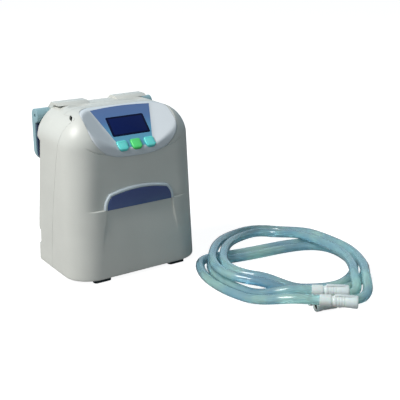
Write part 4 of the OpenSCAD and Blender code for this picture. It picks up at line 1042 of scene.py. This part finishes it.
def make_window():
    window = extruded(window_outline(-0.02), -2.2, 0.3)
    round_edges(window, 0.28, 3, edges=[e for e in window.edges if all(v.co.z > 0 for v in e.verts)])
    bmesh.ops.transform(window, matrix=CONSOLE, verts=window.verts)
    return finished("display_glass", window, window_finish(), "case", ("display_window",), sharp=50)


def make_button(node, name, body, x, finish):
    """Cap with a rolled crown, the flange that holds it under the pod, and its stem."""
    cap = extruded(button_outline(x), -3.2, 1.85)
    round_edges(cap, 1.1, 4, edges=[e for e in cap.edges if all(v.co.z > 1 for v in e.verts)])
    crown = [f for f in cap.faces if f.normal.z > 0.99 and f.calc_center_median().z > 1.5]
    bmesh.ops.inset_region(cap, faces=crown, thickness=1.6, depth=0.22)
    button = cut(cap, ("UNION", extruded(button_outline(x, 1.1), -4.3, -2.8)),
                 ("UNION", rod((x, -BUTTON_S, -10.7), (x, -BUTTON_S, -4), 1.6, 24)))
    bmesh.ops.transform(button, matrix=CONSOLE, verts=button.verts)
    return finished(name, button, finish, body, (node,), sharp=48)


def make_name_plate():
    finish = Finish("navy_plate_lacquer", (56, 74, 126), 0.3, coat_weight=0.35, coat_roughness=0.12)
    x, y, z = finish.axes(finish.place(scale=(1000, 1000, 1000)))
    up = (z - PLATE_LOW).between(0, 20)
    base = finish.mix(srgb(64, 84, 134), srgb(46, 62, 116), up)
    flakes = finish.cells(2600).between(0.1, 0.5)
    finish.paint(finish.mix(base, srgb(84, 104, 150), (1 - flakes) * 0.2))
    finish.rough(finish.noise(500, 3) * 0.12 + 0.24)
    finish.bump(finish.noise(1800, 2), 0.00001)
    plate = upright(arch(PLATE_HALF_W - 0.05, PLATE_H - 0.05, PLATE_R), PLATE_FRONT, PLATE_BACK - PLATE_FRONT)
    front = [e for e in plate.edges if all(v.co.y < PLATE_FRONT + 0.01 for v in e.verts)]
    round_edges(plate, 0.45, 3, edges=front)
    finished("name_plate_bare", plate, finish, "case", ("name_plate",), sharp=40)
    rim = cut(upright(arch(PLATE_HALF_W + RIM_W, PLATE_H + RIM_W, PLATE_R + RIM_W), PLATE_FRONT + 0.4,
                      PLATE_BACK - PLATE_FRONT - 0.4),
              ("DIFFERENCE", upright(arch(PLATE_HALF_W, PLATE_H, PLATE_R, -1), PLATE_FRONT - 2, 12)))
    bmesh.ops.dissolve_limit(rim, angle_limit=1 * DEG, verts=rim.verts, edges=rim.edges)
    front = [e for e in rim.edges if all(v.co.y < PLATE_FRONT + 0.41 for v in e.verts)]
    round_edges(rim, 1.35, 4, edges=front)
    finished("name_plate_rim_moulded", rim, RIM_SILVER, "case", ("name_plate_rim",), sharp=50)


make_front_housing()
make_rear_housing()
make_pod()
make_panel()
make_window()
TURQUOISE, TURQUOISE_DARK = (112, 230, 222), (70, 196, 196)
GREEN, GREEN_DARK = (96, 232, 128), (52, 200, 96)
BUTTONS = (
    ("left", BUTTON_XS[0], "turquoise_silicone_left", TURQUOISE, TURQUOISE_DARK),
    ("centre", BUTTON_XS[1], "green_silicone", GREEN, GREEN_DARK),
    ("right", BUTTON_XS[2], "turquoise_silicone_right", TURQUOISE, TURQUOISE_DARK),
)
for where, across, silicone, colour, dark in BUTTONS:
    make_button("button_" + where, where + "_button_cap", where + "_button", across,
                button_finish(silicone, colour, dark, across))
make_name_plate()
from_node("hinge_lug_left", "left_hinge_lug", CASE_GREY, "case", 0.7, 3)
from_node("hinge_lug_right", "right_hinge_lug", CASE_GREY, "case", 0.7, 3)
from_node("bed_hook", "bed_hook_moulded", HOOK_TEAL, "hook", 0.9, 3)
# The pad carries the painted shade of the hook's inner face.
from_node("hook_pad", "hook_pad_ribbed", PAD_SHADE_NAVY, "hook", 0)
from_node("feet", "rubber_feet", FOOT_BLACK, "case", 0.5, 2)
from_node("hose_socket_left", "left_hose_socket", PORT_BLACK, "case", 0.25, 2)
from_node("hose_socket_right", "right_hose_socket", PORT_BLACK, "case", 0.25, 2)
from_node("mains_inlet", "mains_inlet_moulded", PORT_BLACK, "case", 0.25, 2)
from_node("switch_frame", "switch_frame_moulded", PORT_BLACK, "case", 0.25, 2)
from_node("power_rocker", "power_rocker_moulded", PORT_BLACK, "rocker", 0.35, 3)

# ---------- pieces that keep the part's own solids ----------
KEPT = {
    STEEL: ("hook_pin", "hook_spring", "case_screws", "display_module", "chassis", "compressor_frame",
            "armature", "valve_plunger_left", "valve_plunger_right"),
    BOARD: ("control_board", "main_board", "power_board"),
    COPPER: ("compressor_coils", "valve_coil_left", "valve_coil_right"),
    NYLON: ("air_reservoir", "valve_manifold", "outlet_tubes", "feed_tube"),
    PORT_BLACK: ("key_switches", "buzzer"),
    FOOT_BLACK: ("diaphragm_head_left", "diaphragm_head_right", "compressor_mounts"),
    CELL_BLUE: ("battery_pack",),
}
for finish, names in KEPT.items():
    for node in names:
        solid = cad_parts[node]
        solid.data.materials.clear()
        solid.data.materials.append(finish.material)

# ---------- floor, backdrop and light ----------
FLOOR_SHADE = (0.4, 0.4, 0.4, 1)
FLOOR_GLOW = 0.93                          # what the camera sees of it besides
SKY_BLUE, SKY_WHITE = (0.68, 0.88, 1, 1), (1, 1, 1, 1)
SKY_LIGHT, SKY_SEEN = 0.15, 1.0            # strength on the object, and where it is seen or reflected


def maths(tree, operation, *terms):
    """A Math node on links or numbers."""
    made = tree.nodes.new("ShaderNodeMath")
    made.operation = operation
    for socket, term in zip(made.inputs, terms):
        if isinstance(term, bpy.types.NodeSocket):
            tree.links.new(term, socket)
        else:
            socket.default_value = term
    return made.outputs[0]


def white_paper():
    """A pale floor that takes shadows and glows to the camera alone."""
    paper = bpy.data.materials.new("white_paper")
    paper.use_nodes = True
    tree = paper.node_tree
    tree.nodes.clear()
    rays = tree.nodes.new("ShaderNodeLightPath")
    diffuse = tree.nodes.new("ShaderNodeBsdfDiffuse")
    diffuse.inputs["Color"].default_value = FLOOR_SHADE
    glow = tree.nodes.new("ShaderNodeEmission")
    both = tree.nodes.new("ShaderNodeAddShader")
    out = tree.nodes.new("ShaderNodeOutputMaterial")
    tree.links.new(maths(tree, "MULTIPLY", rays.outputs["Is Camera Ray"], FLOOR_GLOW),
                   glow.inputs["Strength"])
    tree.links.new(diffuse.outputs[0], both.inputs[0])
    tree.links.new(glow.outputs[0], both.inputs[1])
    tree.links.new(both.outputs[0], out.inputs["Surface"])
    return paper


def make_floor():
    floor = bmesh.new()
    bmesh.ops.create_grid(floor, x_segments=4, y_segments=4, size=4)
    mesh = bpy.data.meshes.new("white_floor")
    floor.to_mesh(mesh)
    floor.free()
    piece = bpy.data.objects.new("white_floor", mesh)
    bpy.context.collection.objects.link(piece)
    mesh.materials.append(white_paper())


def make_sky():
    """Dim bluish light on the object, and white where the sky is seen, mirrored or looked through."""
    world = bpy.data.worlds.new("studio")
    bpy.context.scene.world = world
    world.use_nodes = True
    tree = world.node_tree
    back = tree.nodes["Background"]
    rays = tree.nodes.new("ShaderNodeLightPath")
    shade = tree.nodes.new("ShaderNodeMix")
    shade.data_type = "RGBA"
    shade.inputs[6].default_value = SKY_BLUE
    shade.inputs[7].default_value = SKY_WHITE
    tree.links.new(rays.outputs["Is Camera Ray"], shade.inputs[0])
    tree.links.new(shade.outputs[2], back.inputs["Color"])
    through = maths(tree, "MAXIMUM", rays.outputs["Is Glossy Ray"], rays.outputs["Is Transmission Ray"])
    level = tree.nodes.new("ShaderNodeMapRange")
    level.inputs["To Min"].default_value = SKY_LIGHT
    level.inputs["To Max"].default_value = SKY_SEEN
    tree.links.new(maths(tree, "MAXIMUM", rays.outputs["Is Camera Ray"], through), level.inputs["Value"])
    tree.links.new(level.outputs[0], back.inputs["Strength"])


make_floor()
make_sky()
area_light("key", (-1.5, 0.05, 1.7), (0, 0, 0.09), 1.1, 54, (1, 0.985, 0.965))
area_light("fill", (-0.2, -1.6, 0.8), (0, 0, 0.09), 1.4, 2.4, (0.86, 0.95, 1))

bpy.context.scene.view_settings.view_transform = "Standard"
